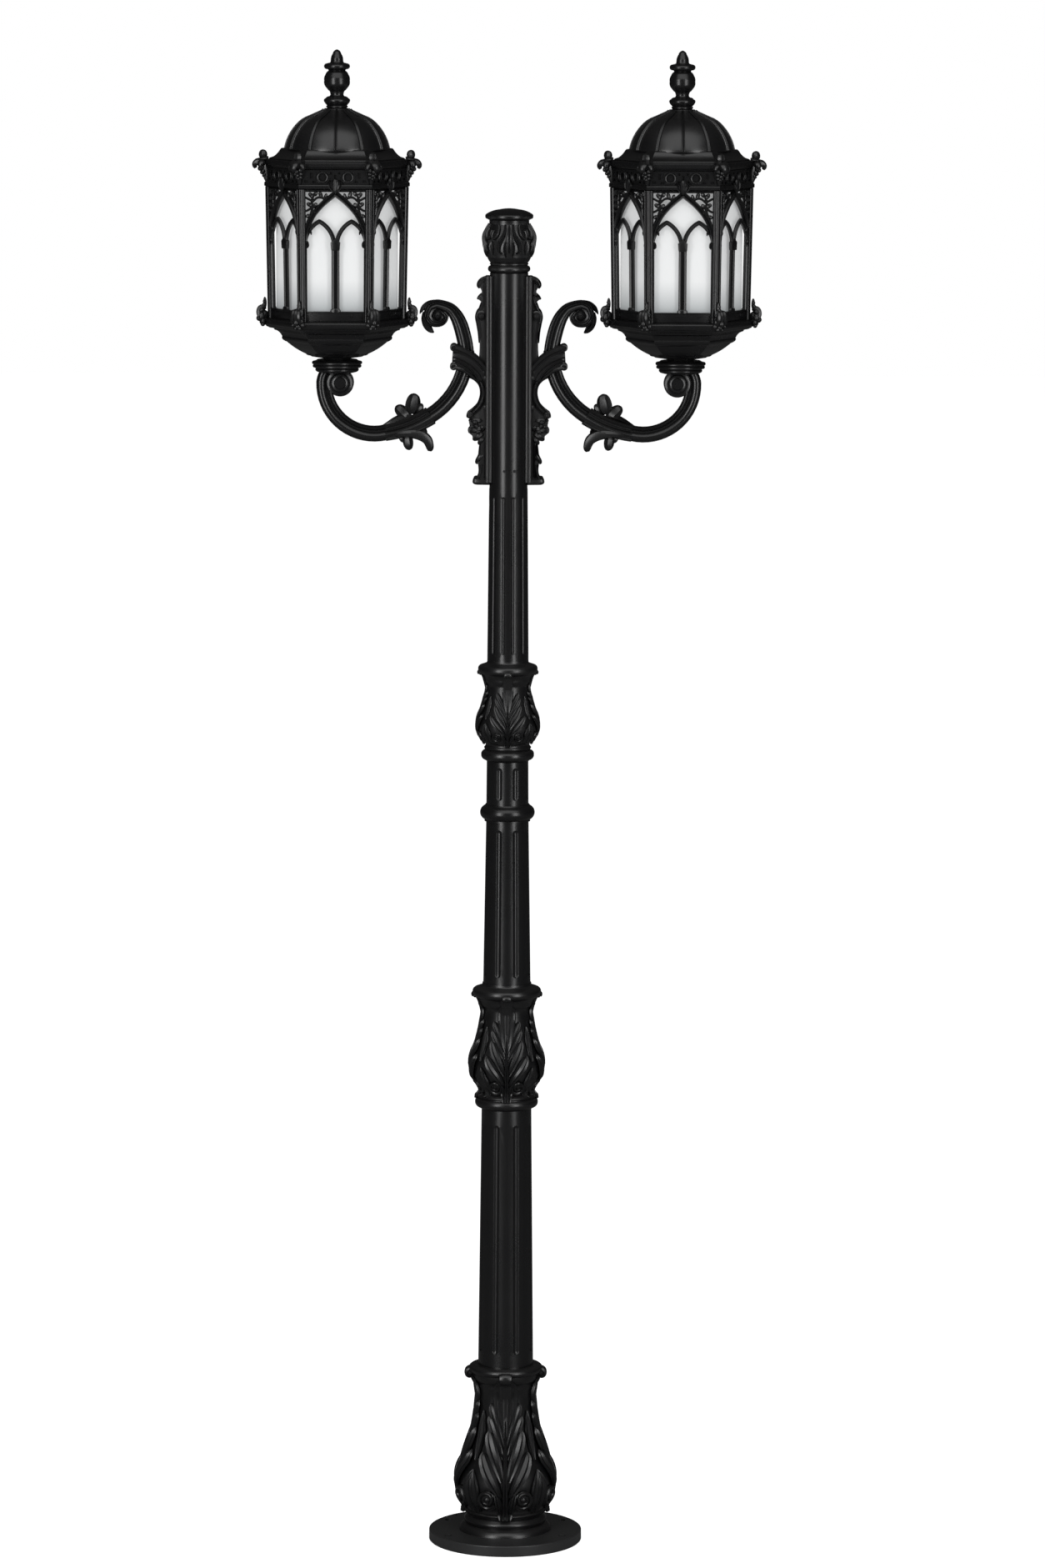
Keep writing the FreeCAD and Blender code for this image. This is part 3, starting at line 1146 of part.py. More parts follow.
def lantern():
    """All the pieces of the right lantern on its arm, and their copies on the left."""
    makers = [saddle, nipple, lock_nut, bowl, sill, corner_posts, tracery, cornice, roof, finial,
              lamp_tray, diffuser, lamp_holder, bulb_cap, bulb, bridge_bar]
    pieces = {maker.__name__: maker() for maker in makers}
    document.recompute()
    outer = [pieces[name].Shape.copy() for name in ("cornice", "corner_posts")]
    roof_space = rod(value("roof_flange_radius + roof_travel_clearance"), value("eave_crocket_height"),
                     vector(0, 0, value(eave_level)), vector(0, 0, 1))
    pieces["eave_crockets"] = crockets(
        "right_eave_crockets", eave_crocket_shares, value("cornice_radius - crocket_overlap"),
        value(f"{eave_level} - eave_crocket_drop"), value("eave_crocket_reach"),
        value("eave_crocket_height"), outer + [roof_space])
    lower = [pieces[name].Shape.copy() for name in ("sill", "corner_posts")]
    pieces["sill_crockets"] = crockets(
        "right_sill_crockets", sill_crocket_shares, value("sill_radius - crocket_overlap"),
        value(f"{cage_foot} - sill_crocket_drop"), value("sill_crocket_reach"),
        value("sill_crocket_height"), lower)
    for piece in pieces.values():
        piece.setExpression("Placement.Base.x", bound(lantern_reach))
    turned_copies(pieces.values())


for build in (base_plate, core_tube, core_nut, post_castings, post_shafts, top_sleeve, cap,
              arms_and_brackets, bracket_bolts, fixing_screws, lantern):
    build()
document.recompute()

os.makedirs("parts", exist_ok=True)
for item in document.Objects:
    if "Invalid" in item.State or "Error" in item.State:
        raise RuntimeError(f"{item.Label} ({item.Name}) failed: {item.State}")
for node in written_nodes:
    if node.Shape.isNull() or not node.Shape.isValid():
        raise RuntimeError(f"{node.Label} has no valid shape")
    node.Shape.exportStep(f"parts/{node.Label}.step")
    print(f"{node.Label}: {len(node.Shape.Solids)} solid(s), {node.Shape.Volume / 1000:.1f} cm3")
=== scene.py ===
import math

import bmesh
import bpy
import numpy as np
from mathutils import Matrix, Vector


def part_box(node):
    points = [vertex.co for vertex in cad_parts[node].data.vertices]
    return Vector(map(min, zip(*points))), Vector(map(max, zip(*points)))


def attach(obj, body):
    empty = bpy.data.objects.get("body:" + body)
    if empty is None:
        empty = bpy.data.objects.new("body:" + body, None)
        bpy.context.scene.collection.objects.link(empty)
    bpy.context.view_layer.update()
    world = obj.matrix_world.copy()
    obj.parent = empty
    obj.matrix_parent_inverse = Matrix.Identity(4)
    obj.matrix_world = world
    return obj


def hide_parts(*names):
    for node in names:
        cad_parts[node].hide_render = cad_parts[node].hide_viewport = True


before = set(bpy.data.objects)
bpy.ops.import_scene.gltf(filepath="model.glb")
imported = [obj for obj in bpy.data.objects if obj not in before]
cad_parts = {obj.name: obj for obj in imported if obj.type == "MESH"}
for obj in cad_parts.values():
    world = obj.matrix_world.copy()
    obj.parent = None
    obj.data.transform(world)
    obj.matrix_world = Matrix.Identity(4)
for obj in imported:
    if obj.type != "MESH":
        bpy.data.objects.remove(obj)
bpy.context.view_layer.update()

# Garden lamp post. The cast pieces that carry ornament are modelled here over the frame's solids.
# Lengths in the dictionaries are millimetres and angles are degrees. Pieces are scaled to metres last.

metre = 0.001
weld = 0.001
yAxis, zAxis = Vector((0, 1, 0)), Vector((0, 0, 1))

# Where the right lantern stands, read from the frame
saddleLow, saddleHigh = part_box("right_saddle")
lanternReach = (saddleLow.x + saddleHigh.x) / 2 / metre


def level(node, top=False):
    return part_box(node)[1 if top else 0].z / metre


# Node helpers. A socket's value is a number, a colour or another node's output.

def feed(tree, socket, value):
    if isinstance(value, bpy.types.NodeSocket):
        tree.links.new(value, socket)
    else:
        socket.default_value = value


def addNode(tree, kind, **sockets):
    node = tree.nodes.new(kind)
    for name, value in sockets.items():
        feed(tree, node.inputs[name.replace("_", " ")], value)
    return node


def addMath(tree, operation, *values):
    node = tree.nodes.new("ShaderNodeMath")
    node.operation = operation
    for socket, value in zip(node.inputs, values):
        feed(tree, socket, value)
    return node.outputs["Value"]


def addMix(tree, factor, first, second):
    node = tree.nodes.new("ShaderNodeMix")
    node.data_type = "RGBA"
    for name, value in (("Factor", factor), ("A", first), ("B", second)):
        feed(tree, node.inputs[name], value)
    return node.outputs["Result"]


def withAlpha(colour):
    return (*colour, 1.0)


def newGroup(name, inputs, outputs):
    group = bpy.data.node_groups.new(name, "ShaderNodeTree")
    for socketName, kind, value in inputs:
        socket = group.interface.new_socket(name=socketName, in_out="INPUT", socket_type=kind)
        socket.default_value = value
    for socketName, kind in outputs:
        group.interface.new_socket(name=socketName, in_out="OUTPUT", socket_type=kind)
    return group, group.nodes.new("NodeGroupInput"), group.nodes.new("NodeGroupOutput")


# Cast and sprayed surface: cloudy gloss, fine grain, and dust that settles on what faces up
castPattern = {"cloudScale": 7.0, "cloudDetail": 4.0, "cloudRoughness": 0.6,
               "grainDetail": 2.0, "grainRoughness": 0.55, "pitScale": 260.0, "pitDepth": 0.35,
               "dustFrom": 0.35, "glossLess": -0.07, "glossMore": 0.09}


def castSurfaceGroup():
    values = castPattern
    black = withAlpha((0, 0, 0))
    group, source, result = newGroup(
        "castSurface",
        [("Colour", "NodeSocketColor", black), ("Dust Colour", "NodeSocketColor", black),
         ("Dust", "NodeSocketFloat", 0.3), ("Gloss", "NodeSocketFloat", 0.4),
         ("Grain Scale", "NodeSocketFloat", 900)],
        [("Colour", "NodeSocketColor"), ("Roughness", "NodeSocketFloat"), ("Height", "NodeSocketFloat")])
    place = group.nodes.new("ShaderNodeTexCoord").outputs["Object"]
    cloud = addNode(group, "ShaderNodeTexNoise", Vector=place, Scale=values["cloudScale"],
                    Detail=values["cloudDetail"], Roughness=values["cloudRoughness"]).outputs["Fac"]
    grain = addNode(group, "ShaderNodeTexNoise", Vector=place, Scale=source.outputs["Grain Scale"],
                    Detail=values["grainDetail"], Roughness=values["grainRoughness"]).outputs["Fac"]
    pits = addNode(group, "ShaderNodeTexVoronoi", Vector=place,
                   Scale=values["pitScale"]).outputs["Distance"]
    normal = group.nodes.new("ShaderNodeNewGeometry").outputs["Normal"]
    facing = addNode(group, "ShaderNodeSeparateXYZ", Vector=normal).outputs["Z"]
    upward = addNode(group, "ShaderNodeMapRange", Value=facing, From_Min=values["dustFrom"], From_Max=1.0)
    patchy = addMath(group, "MULTIPLY", upward.outputs["Result"], cloud)
    amount = addMath(group, "MULTIPLY", patchy, source.outputs["Dust"])
    colour = addMix(group, amount, source.outputs["Colour"], source.outputs["Dust Colour"])
    spread = addNode(group, "ShaderNodeMapRange", Value=cloud, To_Min=values["glossLess"],
                     To_Max=values["glossMore"])
    rough = addMath(group, "ADD", source.outputs["Gloss"], spread.outputs["Result"])
    height = addMath(group, "MULTIPLY_ADD", pits, values["pitDepth"], grain)
    for name, value in (("Colour", colour), ("Roughness", rough), ("Height", height)):
        group.links.new(value, result.inputs[name])
    return group


def newMaterial(name, **settings):
    material = bpy.data.materials.new(name)
    material.use_nodes = True
    tree = material.node_tree
    shader = tree.nodes["Principled BSDF"]
    for socket, value in settings.items():
        shader.inputs[socket.replace("_", " ")].default_value = value
    return material, tree, shader


# Metal or paint that takes its cloudiness and grain from the cast surface group. Gloss is the roughness.
castFinishes = {
    "blackPaint": {"colour": (0.0036, 0.0036, 0.0039), "dust": 0.16, "gloss": 0.27, "grain": 900,
                   "bump": 0.10, "more": {"Specular_IOR_Level": 0.5}},
    "leafPaint": {"colour": (0.0036, 0.0036, 0.0039), "dust": 0.40, "gloss": 0.31, "grain": 900,
                  "bump": 0.13,
                  "more": {"Specular_IOR_Level": 0.62}},
    # the base plate's paint is the black paint made lighter: painted light standing in for the floor light
    # its faces reflect
    "plateBlackPaintedLight": {"colour": (0.017, 0.0172, 0.0175), "dust": 0.25, "gloss": 0.36, "grain": 900,
                   "bump": 0.10, "more": {"Specular_IOR_Level": 0.5}},
    "screwBlack": {"colour": (0.012, 0.012, 0.013), "dust": 0.1, "gloss": 0.34, "grain": 2200, "bump": 0.2,
                   "more": {"Specular_IOR_Level": 0.5}},
    "zincSteel": {"colour": (0.55, 0.56, 0.57), "dust": 0.1, "gloss": 0.36, "grain": 1600, "bump": 0.25,
                  "more": {"Metallic": 1.0}},
    "trayPaint": {"colour": (0.80, 0.80, 0.79), "dust": 0.15, "gloss": 0.5, "grain": 900, "bump": 0.15,
                  "more": {}},
    "porcelain": {"colour": (0.86, 0.85, 0.82), "dust": 0.1, "gloss": 0.2, "grain": 300, "bump": 0.1,
                  "more": {"Coat_Weight": 0.4}},
    "nickelCap": {"colour": (0.66, 0.64, 0.60), "dust": 0.05, "gloss": 0.28, "grain": 1400, "bump": 0.2,
                  "more": {"Metallic": 1.0}},
    "frostedGlass": {"colour": (0.86, 0.85, 0.82), "dust": 0.0, "gloss": 0.3, "grain": 500, "bump": 0.1,
                     "more": {"Transmission_Weight": 0.5, "IOR": 1.45}},
}
dustColour = (0.030, 0.029, 0.028)
bumpDistance = 0.0004


def castMaterial(name, values):
    material, tree, shader = newMaterial(name, **values["more"])
    effect = tree.nodes.new("ShaderNodeGroup")
    effect.node_tree = castSurface
    for socket, value in (("Colour", withAlpha(values["colour"])), ("Dust Colour", withAlpha(dustColour)),
                          ("Dust", values["dust"]), ("Gloss", values["gloss"]),
                          ("Grain Scale", values["grain"])):
        effect.inputs[socket].default_value = value
    relief = addNode(tree, "ShaderNodeBump", Strength=values["bump"], Distance=bumpDistance,
                     Height=effect.outputs["Height"])
    tree.links.new(effect.outputs["Colour"], shader.inputs["Base Color"])
    tree.links.new(effect.outputs["Roughness"], shader.inputs["Roughness"])
    tree.links.new(relief.outputs["Normal"], shader.inputs["Normal"])
    return material


# Frosted diffuser: whiter in the middle of its height, greyer at the foot with painted shade, lit a little
# from inside
opal = {"colour": (0.435, 0.441, 0.442), "paintedShade": (0.225, 0.238, 0.243), "glow": 0.60, "roughness": 0.6,
        "specular": 0.2, "paintedShadeRise": 2, "fullRise": 92, "cloudScale": 9.0, "cloudDetail": 2.0,
        "cloudShare": 0.12}


def opalMaterial():
    foot = level("right_diffuser")
    material, tree, shader = newMaterial("opalAcrylic", Roughness=opal["roughness"],
                                         Specular_IOR_Level=opal["specular"],
                                         Emission_Strength=opal["glow"])
    place = tree.nodes.new("ShaderNodeTexCoord").outputs["Object"]
    height = addNode(tree, "ShaderNodeSeparateXYZ", Vector=place).outputs["Z"]
    # painted shade: colour and glow grey from the shade colour at the foot to the full colour higher up
    rise = tree.nodes.new("ShaderNodeMapRange")
    rise.interpolation_type = "SMOOTHSTEP"
    for name, value in (("Value", height), ("From Min", (foot + opal["paintedShadeRise"]) * metre),
                        ("From Max", (foot + opal["fullRise"]) * metre)):
        feed(tree, rise.inputs[name], value)
    cloud = addNode(tree, "ShaderNodeTexNoise", Vector=place, Scale=opal["cloudScale"],
                    Detail=opal["cloudDetail"])
    paintedShadeMix = addMath(tree, "MULTIPLY_ADD", cloud.outputs["Fac"], opal["cloudShare"], rise.outputs["Result"])
    colour = addMix(tree, paintedShadeMix, withAlpha(opal["paintedShade"]), withAlpha(opal["colour"]))
    tree.links.new(colour, shader.inputs["Base Color"])
    tree.links.new(colour, shader.inputs["Emission Color"])
    return material


castSurface = castSurfaceGroup()
materials = {name: castMaterial(name, values) for name, values in castFinishes.items()}
materials["opalAcrylic"] = opalMaterial()
print("materials made")

# What the frame's own solids wear. All the others are painted black.
nodeFinishes = {
    # the base plate wears the lighter copy of the black paint, with painted light
    "base_plate": "plateBlackPaintedLight", "core_tube": "zincSteel", "core_nut": "zincSteel", "nipple": "zincSteel",
    "bridge_bar": "zincSteel", "bracket_bolts": "screwBlack", "fixing_screws": "screwBlack",
    "diffuser": "opalAcrylic", "lamp_tray": "trayPaint", "lamp_holder": "porcelain",
    "bulb": "frostedGlass", "bulb_cap": "nickelCap",
}


def paintNodes():
    for name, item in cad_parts.items():
        kind = name.split("_", 1)[1] if name.startswith(("left_", "right_")) else name
        finish = materials[nodeFinishes.get(kind, "blackPaint")]
        for slotNumber in range(len(item.data.materials)):
            item.data.materials[slotNumber] = finish


# Mesh helpers. Meshes are made in millimetres.

def vertsOf(geometry):
    return [item for item in geometry if isinstance(item, bmesh.types.BMVert)]


def edgesOf(geometry):
    return [item for item in geometry if isinstance(item, bmesh.types.BMEdge)]


def turnAbout(bm, verts, angle, centre=(0, 0, 0), axis="Z"):
    bmesh.ops.rotate(bm, verts=verts, cent=centre, matrix=Matrix.Rotation(angle, 3, axis))


def joinRing(bm, verts):
    return [bm.edges.new(pair) for pair in zip(verts, verts[1:] + verts[:1])]


# Extrude a ring of edges where it stands
def growRing(bm, ring):
    made = bmesh.ops.extrude_edge_only(bm, edges=ring)["geom"]
    verts = vertsOf(made)
    return verts, [edge for edge in edgesOf(made) if edge.verts[0] in verts and edge.verts[1] in verts]


# Extrude faces by a shift
def drawOut(bm, faces, shift):
    moved = vertsOf(bmesh.ops.extrude_face_region(bm, geom=faces)["geom"])
    bmesh.ops.translate(bm, verts=moved, vec=shift)
    return moved


# Points along an outline whose corners are (across, up) or (across, up, bulge). The bulge is the tangent
# of a quarter of the arc's angle, positive when it runs anticlockwise.
def outlinePoints(corners, closed=False, chord=2.5, divideLines=False):
    points = []
    count = len(corners)
    for index, corner in enumerate(corners if closed else corners[:-1]):
        start = Vector(corner[:2])
        stop = Vector(corners[(index + 1) % count][:2])
        bulge = corner[2] if len(corner) > 2 else 0
        along = stop - start
        points.append(start)
        if not bulge:
            pieces = max(1, round(along.length / chord)) if divideLines else 1
            points += [start + along * (step / pieces) for step in range(1, pieces)]
            continue
        side = Vector((-along.y, along.x)).normalized()
        radius = along.length * (1 + bulge * bulge) / (4 * bulge)
        centre = (start + stop) / 2 + side * (along.length * (1 - bulge * bulge) / (4 * bulge))
        turned = 4 * math.atan(bulge)
        pieces = max(3, round(abs(radius * turned) / chord))
        spoke = start - centre
        for step in range(1, pieces):
            angle = turned * step / pieces
            points.append(centre + Vector((spoke.x * math.cos(angle) - spoke.y * math.sin(angle),
                                           spoke.x * math.sin(angle) + spoke.y * math.cos(angle))))
    if not closed:
        points.append(Vector(corners[-1][:2]))
    return points


# A chain of edges through points (across, up) of the XZ plane, at a depth
def drawLine(bm, points, closed=False, depth=0.0):
    verts = [bm.verts.new((point[0], depth, point[1])) for point in points]
    following = verts[1:] + verts[:1] if closed else verts[1:]
    return verts, [bm.edges.new(pair) for pair in zip(verts, following)]


# Spin an outline once round Z. An open one ends on the axis. Six steps make a hexagon with a corner on X.
def turnOutline(bm, points, steps, closed=True):
    verts, edges = drawLine(bm, points, closed)
    bmesh.ops.spin(bm, geom=verts + edges, cent=(0, 0, 0), axis=zAxis, angle=2 * math.pi, steps=steps,
                   use_merge=True)
    bmesh.ops.remove_doubles(bm, verts=bm.verts, dist=weld)


def faceOut(bm):
    bmesh.ops.remove_doubles(bm, verts=bm.verts, dist=weld)
    bmesh.ops.recalc_face_normals(bm, faces=bm.faces)


# A plate with rounded edges, whose middle lies in the XZ plane
def cutPlate(bm, corners, thickness, edge, segments=2, chord=2.5):
    verts, edges = drawLine(bm, outlinePoints(corners, True, chord), True, -thickness / 2)
    faces = bmesh.ops.contextual_create(bm, geom=edges)["faces"]
    moved = drawOut(bm, faces, (0, thickness, 0))
    rims = dict.fromkeys(edge for vert in verts + moved for edge in vert.link_edges
                         if abs(edge.verts[0].co.y - edge.verts[1].co.y) < weld)
    bmesh.ops.bevel(bm, geom=list(rims), offset=edge, segments=segments, affect="EDGES", profile=0.5,
                    material=-1, clamp_overlap=True)


# A closed plan in the XY plane, set at a place and drawn out along a shift
def planSolid(bm, plan, chord, place, shift):
    verts = [bm.verts.new(Vector(place) + Vector((point.x, point.y, 0)))
             for point in outlinePoints(plan, True, chord)]
    faces = bmesh.ops.contextual_create(bm, geom=joinRing(bm, verts))["faces"]
    drawOut(bm, faces, shift)


# Carry a closed section along tangent arcs of the XZ plane. Heading is anticlockwise from X towards Z, the
# section's points are (across, depth), and each arc is (radius, turn, shrink over the arc).
def sweepSection(bm, section, start, heading, arcs, stepAngle):
    angle = math.radians(heading)
    place = Vector((start[0], 0, start[1]))
    across = Vector((-math.sin(angle), 0, math.cos(angle)))
    verts = [bm.verts.new(place + across * point[0] + yAxis * point[1]) for point in section]
    ring = joinRing(bm, verts)
    firstRing = list(ring)
    for radius, turned, shrink in arcs:
        steps = max(1, round(abs(turned) / stepAngle))
        spinner = Matrix.Rotation(math.radians(turned / steps), 3, -yAxis)
        scale = shrink ** (1 / steps)
        for step in range(steps):
            verts, ring = growRing(bm, ring)
            across = Vector((-math.sin(angle), 0, math.cos(angle)))
            centre = place + across * math.copysign(radius, turned)
            bmesh.ops.rotate(bm, verts=verts, cent=centre, matrix=spinner)
            place = centre + spinner @ (place - centre)
            angle += math.radians(turned / steps)
            bmesh.ops.scale(bm, verts=verts, vec=(scale, scale, scale), space=Matrix.Translation(-place))
    bmesh.ops.contextual_create(bm, geom=firstRing)
    bmesh.ops.contextual_create(bm, geom=ring)


# Copies about Z of everything in a mesh
def repeatAround(bm, count):
    whole = bm.verts[:] + bm.edges[:] + bm.faces[:]
    for step in range(1, count):
        made = bmesh.ops.duplicate(bm, geom=whole)["geom"]
        turnAbout(bm, vertsOf(made), 2 * math.pi * step / count)


# Mirror chosen parts of the mesh, as whole faces
def mirrorParts(bm, verts, axes):
    wanted = set(verts)
    faces = [face for face in bm.faces if face.verts[0] in wanted]
    made = bmesh.ops.duplicate(bm, geom=faces)["geom"]
    bmesh.ops.scale(bm, verts=vertsOf(made), vec=axes)


# Put a second mesh into the first, and give back its vertices there
def absorb(bm, other):
    mesh = bpy.data.meshes.new("part")
    other.to_mesh(mesh)
    other.free()
    before = set(bm.verts)
    bm.from_mesh(mesh)
    bpy.data.meshes.remove(mesh)
    return [vert for vert in bm.verts if vert not in before]


# Turn a finished mesh into a piece of the lamp post
def makePiece(bm, name, node, material, sharp, body="post"):
    bmesh.ops.scale(bm, verts=bm.verts, vec=(metre, metre, metre))
    mesh = bpy.data.meshes.new(name)
    bm.to_mesh(mesh)
    bm.free()
    for polygon in mesh.polygons:
        polygon.use_smooth = True
    mesh.set_sharp_from_angle(angle=math.radians(sharp))
    mesh.materials.append(materials[material])
    piece = bpy.data.objects.new(name, mesh)
    bpy.context.scene.collection.objects.link(piece)
    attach(piece, body)
    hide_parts(node)


# The same mesh on both sides: moved out to the right, and turned half round for the left
def makePair(bm, name, node, material, sharp, reach=lanternReach, body="post"):
    bmesh.ops.translate(bm, verts=bm.verts, vec=(reach, 0, 0))
    for side, angle in (("right", 0.0), ("left", math.pi)):
        copy = bm.copy()
        turnAbout(copy, copy.verts, angle)
        sideBody = body if body == "post" else f"{side}_{body}"
        makePiece(copy, side + name, f"{side}_{node}", material, sharp, sideBody)
    bm.free()


# Unit sections, as (across, depth) with the front at depth -1. Some are given as a front half and mirrored.

def frontAndBack(front):
    return front + [(across, -depth) for across, depth in reversed(front)]


def roundSection(count, dip=1.0):
    return [((dip if step % 2 else 1) * math.cos(2 * math.pi * step / count),
             (dip if step % 2 else 1) * math.sin(2 * math.pi * step / count)) for step in range(count)]


sections = {
    "round": roundSection(10),
    "vein": roundSection(14, 0.87),
    "leaf": [(-1, 0.1), (-0.82, -0.6), (-0.42, -0.35), (0, -1), (0.42, -0.35), (0.82, -0.6), (1, 0.1),
             (0.5, 0.65), (-0.5, 0.65)],
    "ridge": [(-1, 0.8), (-1, -0.1), (-0.72, -0.45), (-0.34, -0.5), (0, -1), (0.34, -0.5), (0.72, -0.45),
              (1, -0.1), (1, 0.8)],
    "double": [(-1, 0.8), (-1, -0.45), (-0.72, -1), (-0.36, -0.8), (0, -0.3), (0.36, -0.8), (0.72, -1),
               (1, -0.45), (1, 0.8)],
    "blade": [(-1, 0.5), (-1, -0.6), (-0.86, -0.95), (-0.66, -0.75), (-0.42, -0.42), (-0.16, -0.30),
              (0, -0.52), (0.16, -0.30), (0.42, -0.42), (0.66, -0.75), (0.86, -0.95), (1, -0.6), (1, 0.5)],
    "strip": [(-1, 0), (-0.70, -0.28), (-0.98, -0.52), (-0.82, -0.84), (-0.25, -1), (0.45, -0.92),
              (0.8, -0.5), (0.85, 0), (0.8, 0.5), (0.45, 0.92), (-0.25, 1), (-0.82, 0.84), (-0.98, 0.52),
              (-0.70, 0.28)],
    "channel": frontAndBack([(1, -0.42), (0.95, -0.8), (0.78, -1), (0.60, -0.86), (0.45, -0.62),
                             (0.2, -0.54), (-0.2, -0.54), (-0.45, -0.62), (-0.60, -0.86), (-0.78, -1),
                             (-0.95, -0.8), (-1, -0.42)]),
    "arm": frontAndBack([(1, -0.42), (0.96, -0.82), (0.84, -1), (0.70, -0.94), (0.58, -0.68), (0.42, -0.50),
                         (0.26, -0.52), (0.10, -0.74), (-0.10, -0.93), (-0.38, -1), (-0.66, -0.93),
                         (-0.88, -0.72), (-1, -0.36)]),
    "collar": frontAndBack([(1, -0.62), (1.02, -0.88), (0.95, -1), (0.80, -1), (0.70, -0.92), (0.66, -0.74),
                            (0.12, -0.72), (0.04, -0.82), (-0.10, -0.86), (-0.50, -0.84), (-0.60, -0.90),
                            (-0.66, -0.99), (-0.92, -1), (-1.02, -0.88), (-1, -0.62)]),
}


def sizedSection(kind, halfWidth, halfDepth):
    return [(across * halfWidth, depth * halfDepth) for across, depth in sections[kind]]


# A curve through rows of numbers
def smoothRows(rows, steps):
    padded = np.vstack([2 * rows[0] - rows[1], rows, 2 * rows[-1] - rows[-2]])
    smooth = []
    for first, second, third, fourth in zip(padded, padded[1:], padded[2:], padded[3:]):
        for step in range(steps):
            share = step / steps
            smooth.append(0.5 * (2 * second + (third - first) * share
                                 + (2 * first - 5 * second + 4 * third - fourth) * share ** 2
                                 + (3 * second - first - 3 * third + fourth) * share ** 3))
    smooth.append(padded[-2])
    return np.array(smooth)


# No ribbon is drawn thinner than this
thinnest = 0.15


# Carry a unit section through stations of (x, z, half width, half depth, depth of its middle), with steps
# between the stations, or with none straight from one station to the next
def ribbon(bm, kind, stations, steps):
    rows = np.array([tuple(station) + (0.0,) * (5 - len(station)) for station in stations], float)
    if steps:
        rows = smoothRows(rows, steps)
    slopes = np.gradient(rows[:, (0, 4, 1)], axis=0)
    frames = []
    for row, slope in zip(rows, slopes):
        along = Vector(slope).normalized()
        across = Vector((-along.z, 0, along.x)).normalized()
        deep = across.cross(along)
        sides = Matrix((across * max(row[2], thinnest), deep * max(row[3], thinnest),
                        along)).transposed().to_4x4()
        frames.append(Matrix.Translation((row[0], row[4], row[1])) @ sides)
    verts = [bm.verts.new(frames[0] @ Vector((point[0], point[1], 0))) for point in sections[kind]]
    ring = joinRing(bm, verts)
    bmesh.ops.contextual_create(bm, geom=ring)
    made = list(verts)
    for before, after in zip(frames, frames[1:]):
        verts, ring = growRing(bm, ring)
        bmesh.ops.transform(bm, matrix=after @ before.inverted(), verts=verts)
        made += verts
    bmesh.ops.contextual_create(bm, geom=ring)
    return made


# A bud from its root to its tip, in the XZ plane. Its shares are (of its length, of its width there).
budShares = [(0.0, 0.50), (0.14, 0.80), (0.36, 1.0), (0.62, 0.97), (0.82, 0.78), (0.94, 0.50), (1.0, 0.14)]


def bud(bm, root, tip, halfWidth, halfDepth, depth=0.0):
    stations = []
    for share, width in budShares:
        place = Vector(root).lerp(Vector(tip), share)
        stations.append((place.x, place.y, halfWidth * width, halfDepth * width, depth))
    return ribbon(bm, "vein", stations, 2)


def ball(bm, place, radius):
    made = bmesh.ops.create_uvsphere(bm, u_segments=12, v_segments=8, radius=radius)
    bmesh.ops.translate(bm, verts=made["verts"], vec=place)
    return made["verts"]


# A round boss whose axis runs front to back. Its outline is (radius, distance in front of the middle).
def boss(bm, centre, outline, steps):
    part = bmesh.new()
    points = [Vector(point) for point in outlinePoints(outline, chord=1.5)]
    back = [Vector((point.x, -point.y)) for point in reversed(points)]
    turnOutline(part, points + back, steps, False)
    turnAbout(part, part.verts, math.pi / 2, axis="X")
    bmesh.ops.translate(part, verts=part.verts, vec=(centre[0], 0, centre[1]))
    return absorb(bm, part)


# Forms as the dictionaries list them, with heights over a foot: ("bud", root, tip, half width, half depth),
# ("ball", place, radius), ("boss", centre, outline, steps), or a section's name, steps and stations
def addForms(bm, forms, foot=0.0, depth=0.0):
    made = []
    for kind, *values in forms:
        if kind == "ball":
            (x, y, z), radius = values
            made += ball(bm, (x, y, foot + z), radius)
        elif kind == "bud":
            root, tip, halfWidth, halfDepth = values
            made += bud(bm, (root[0], foot + root[1]), (tip[0], foot + tip[1]), halfWidth, halfDepth, depth)
        elif kind == "boss":
            (across, up), outline, steps = values
            made += boss(bm, (across, foot + up), outline, steps)
        else:
            steps, stations = values
            rows = [(x, foot + z, half, deep, depth + sum(lift)) for x, z, half, deep, *lift in stations]
            made += ribbon(bm, kind, rows, steps)
    return made


# A flat sheet with holes, in the XZ plane, its front at a depth
def piercedSheet(bm, loops, thickness, front):
    edges = []
    for loop in loops:
        edges += drawLine(bm, loop, True, front)[1]
    made = bmesh.ops.triangle_fill(bm, edges=edges, use_dissolve=False)["geom"]
    faces = [item for item in made if isinstance(item, bmesh.types.BMFace)]
    drawOut(bm, faces, (0, thickness, 0))


def circlePoints(centre, radius, count):
    return [Vector((centre[0] + radius * math.cos(2 * math.pi * step / count),
                    centre[1] + radius * math.sin(2 * math.pi * step / count))) for step in range(count)]


def squarePoints(centre, width, height):
    return [Vector((centre[0] + across * width / 2, centre[1] + up * height / 2))
            for across, up in ((-1, -1), (1, -1), (1, 1), (-1, 1))]


# The outline of a turned piece, set over its foot. A bulge works on the stretch that starts at its corner.
def turnedMesh(values, foot, closed=True, stretch=1.0):
    bm = bmesh.new()
    outline = outlinePoints(values["outline"], closed, values["chord"])
    points = [(point.x, foot + point.y * stretch) for point in outline]
    turnOutline(bm, points, values["steps"], closed)
    faceOut(bm)
    return bm


# The same form at all six corners or faces of a lantern, and the lantern on both sides
def makeSixfold(bm, name, node, material, sharp):
    faceOut(bm)
    repeatAround(bm, 6)
    makePair(bm, name, node, material, sharp)


# Leaf vases and the cap's urn: turned bodies with a large leaf on each of their four sides

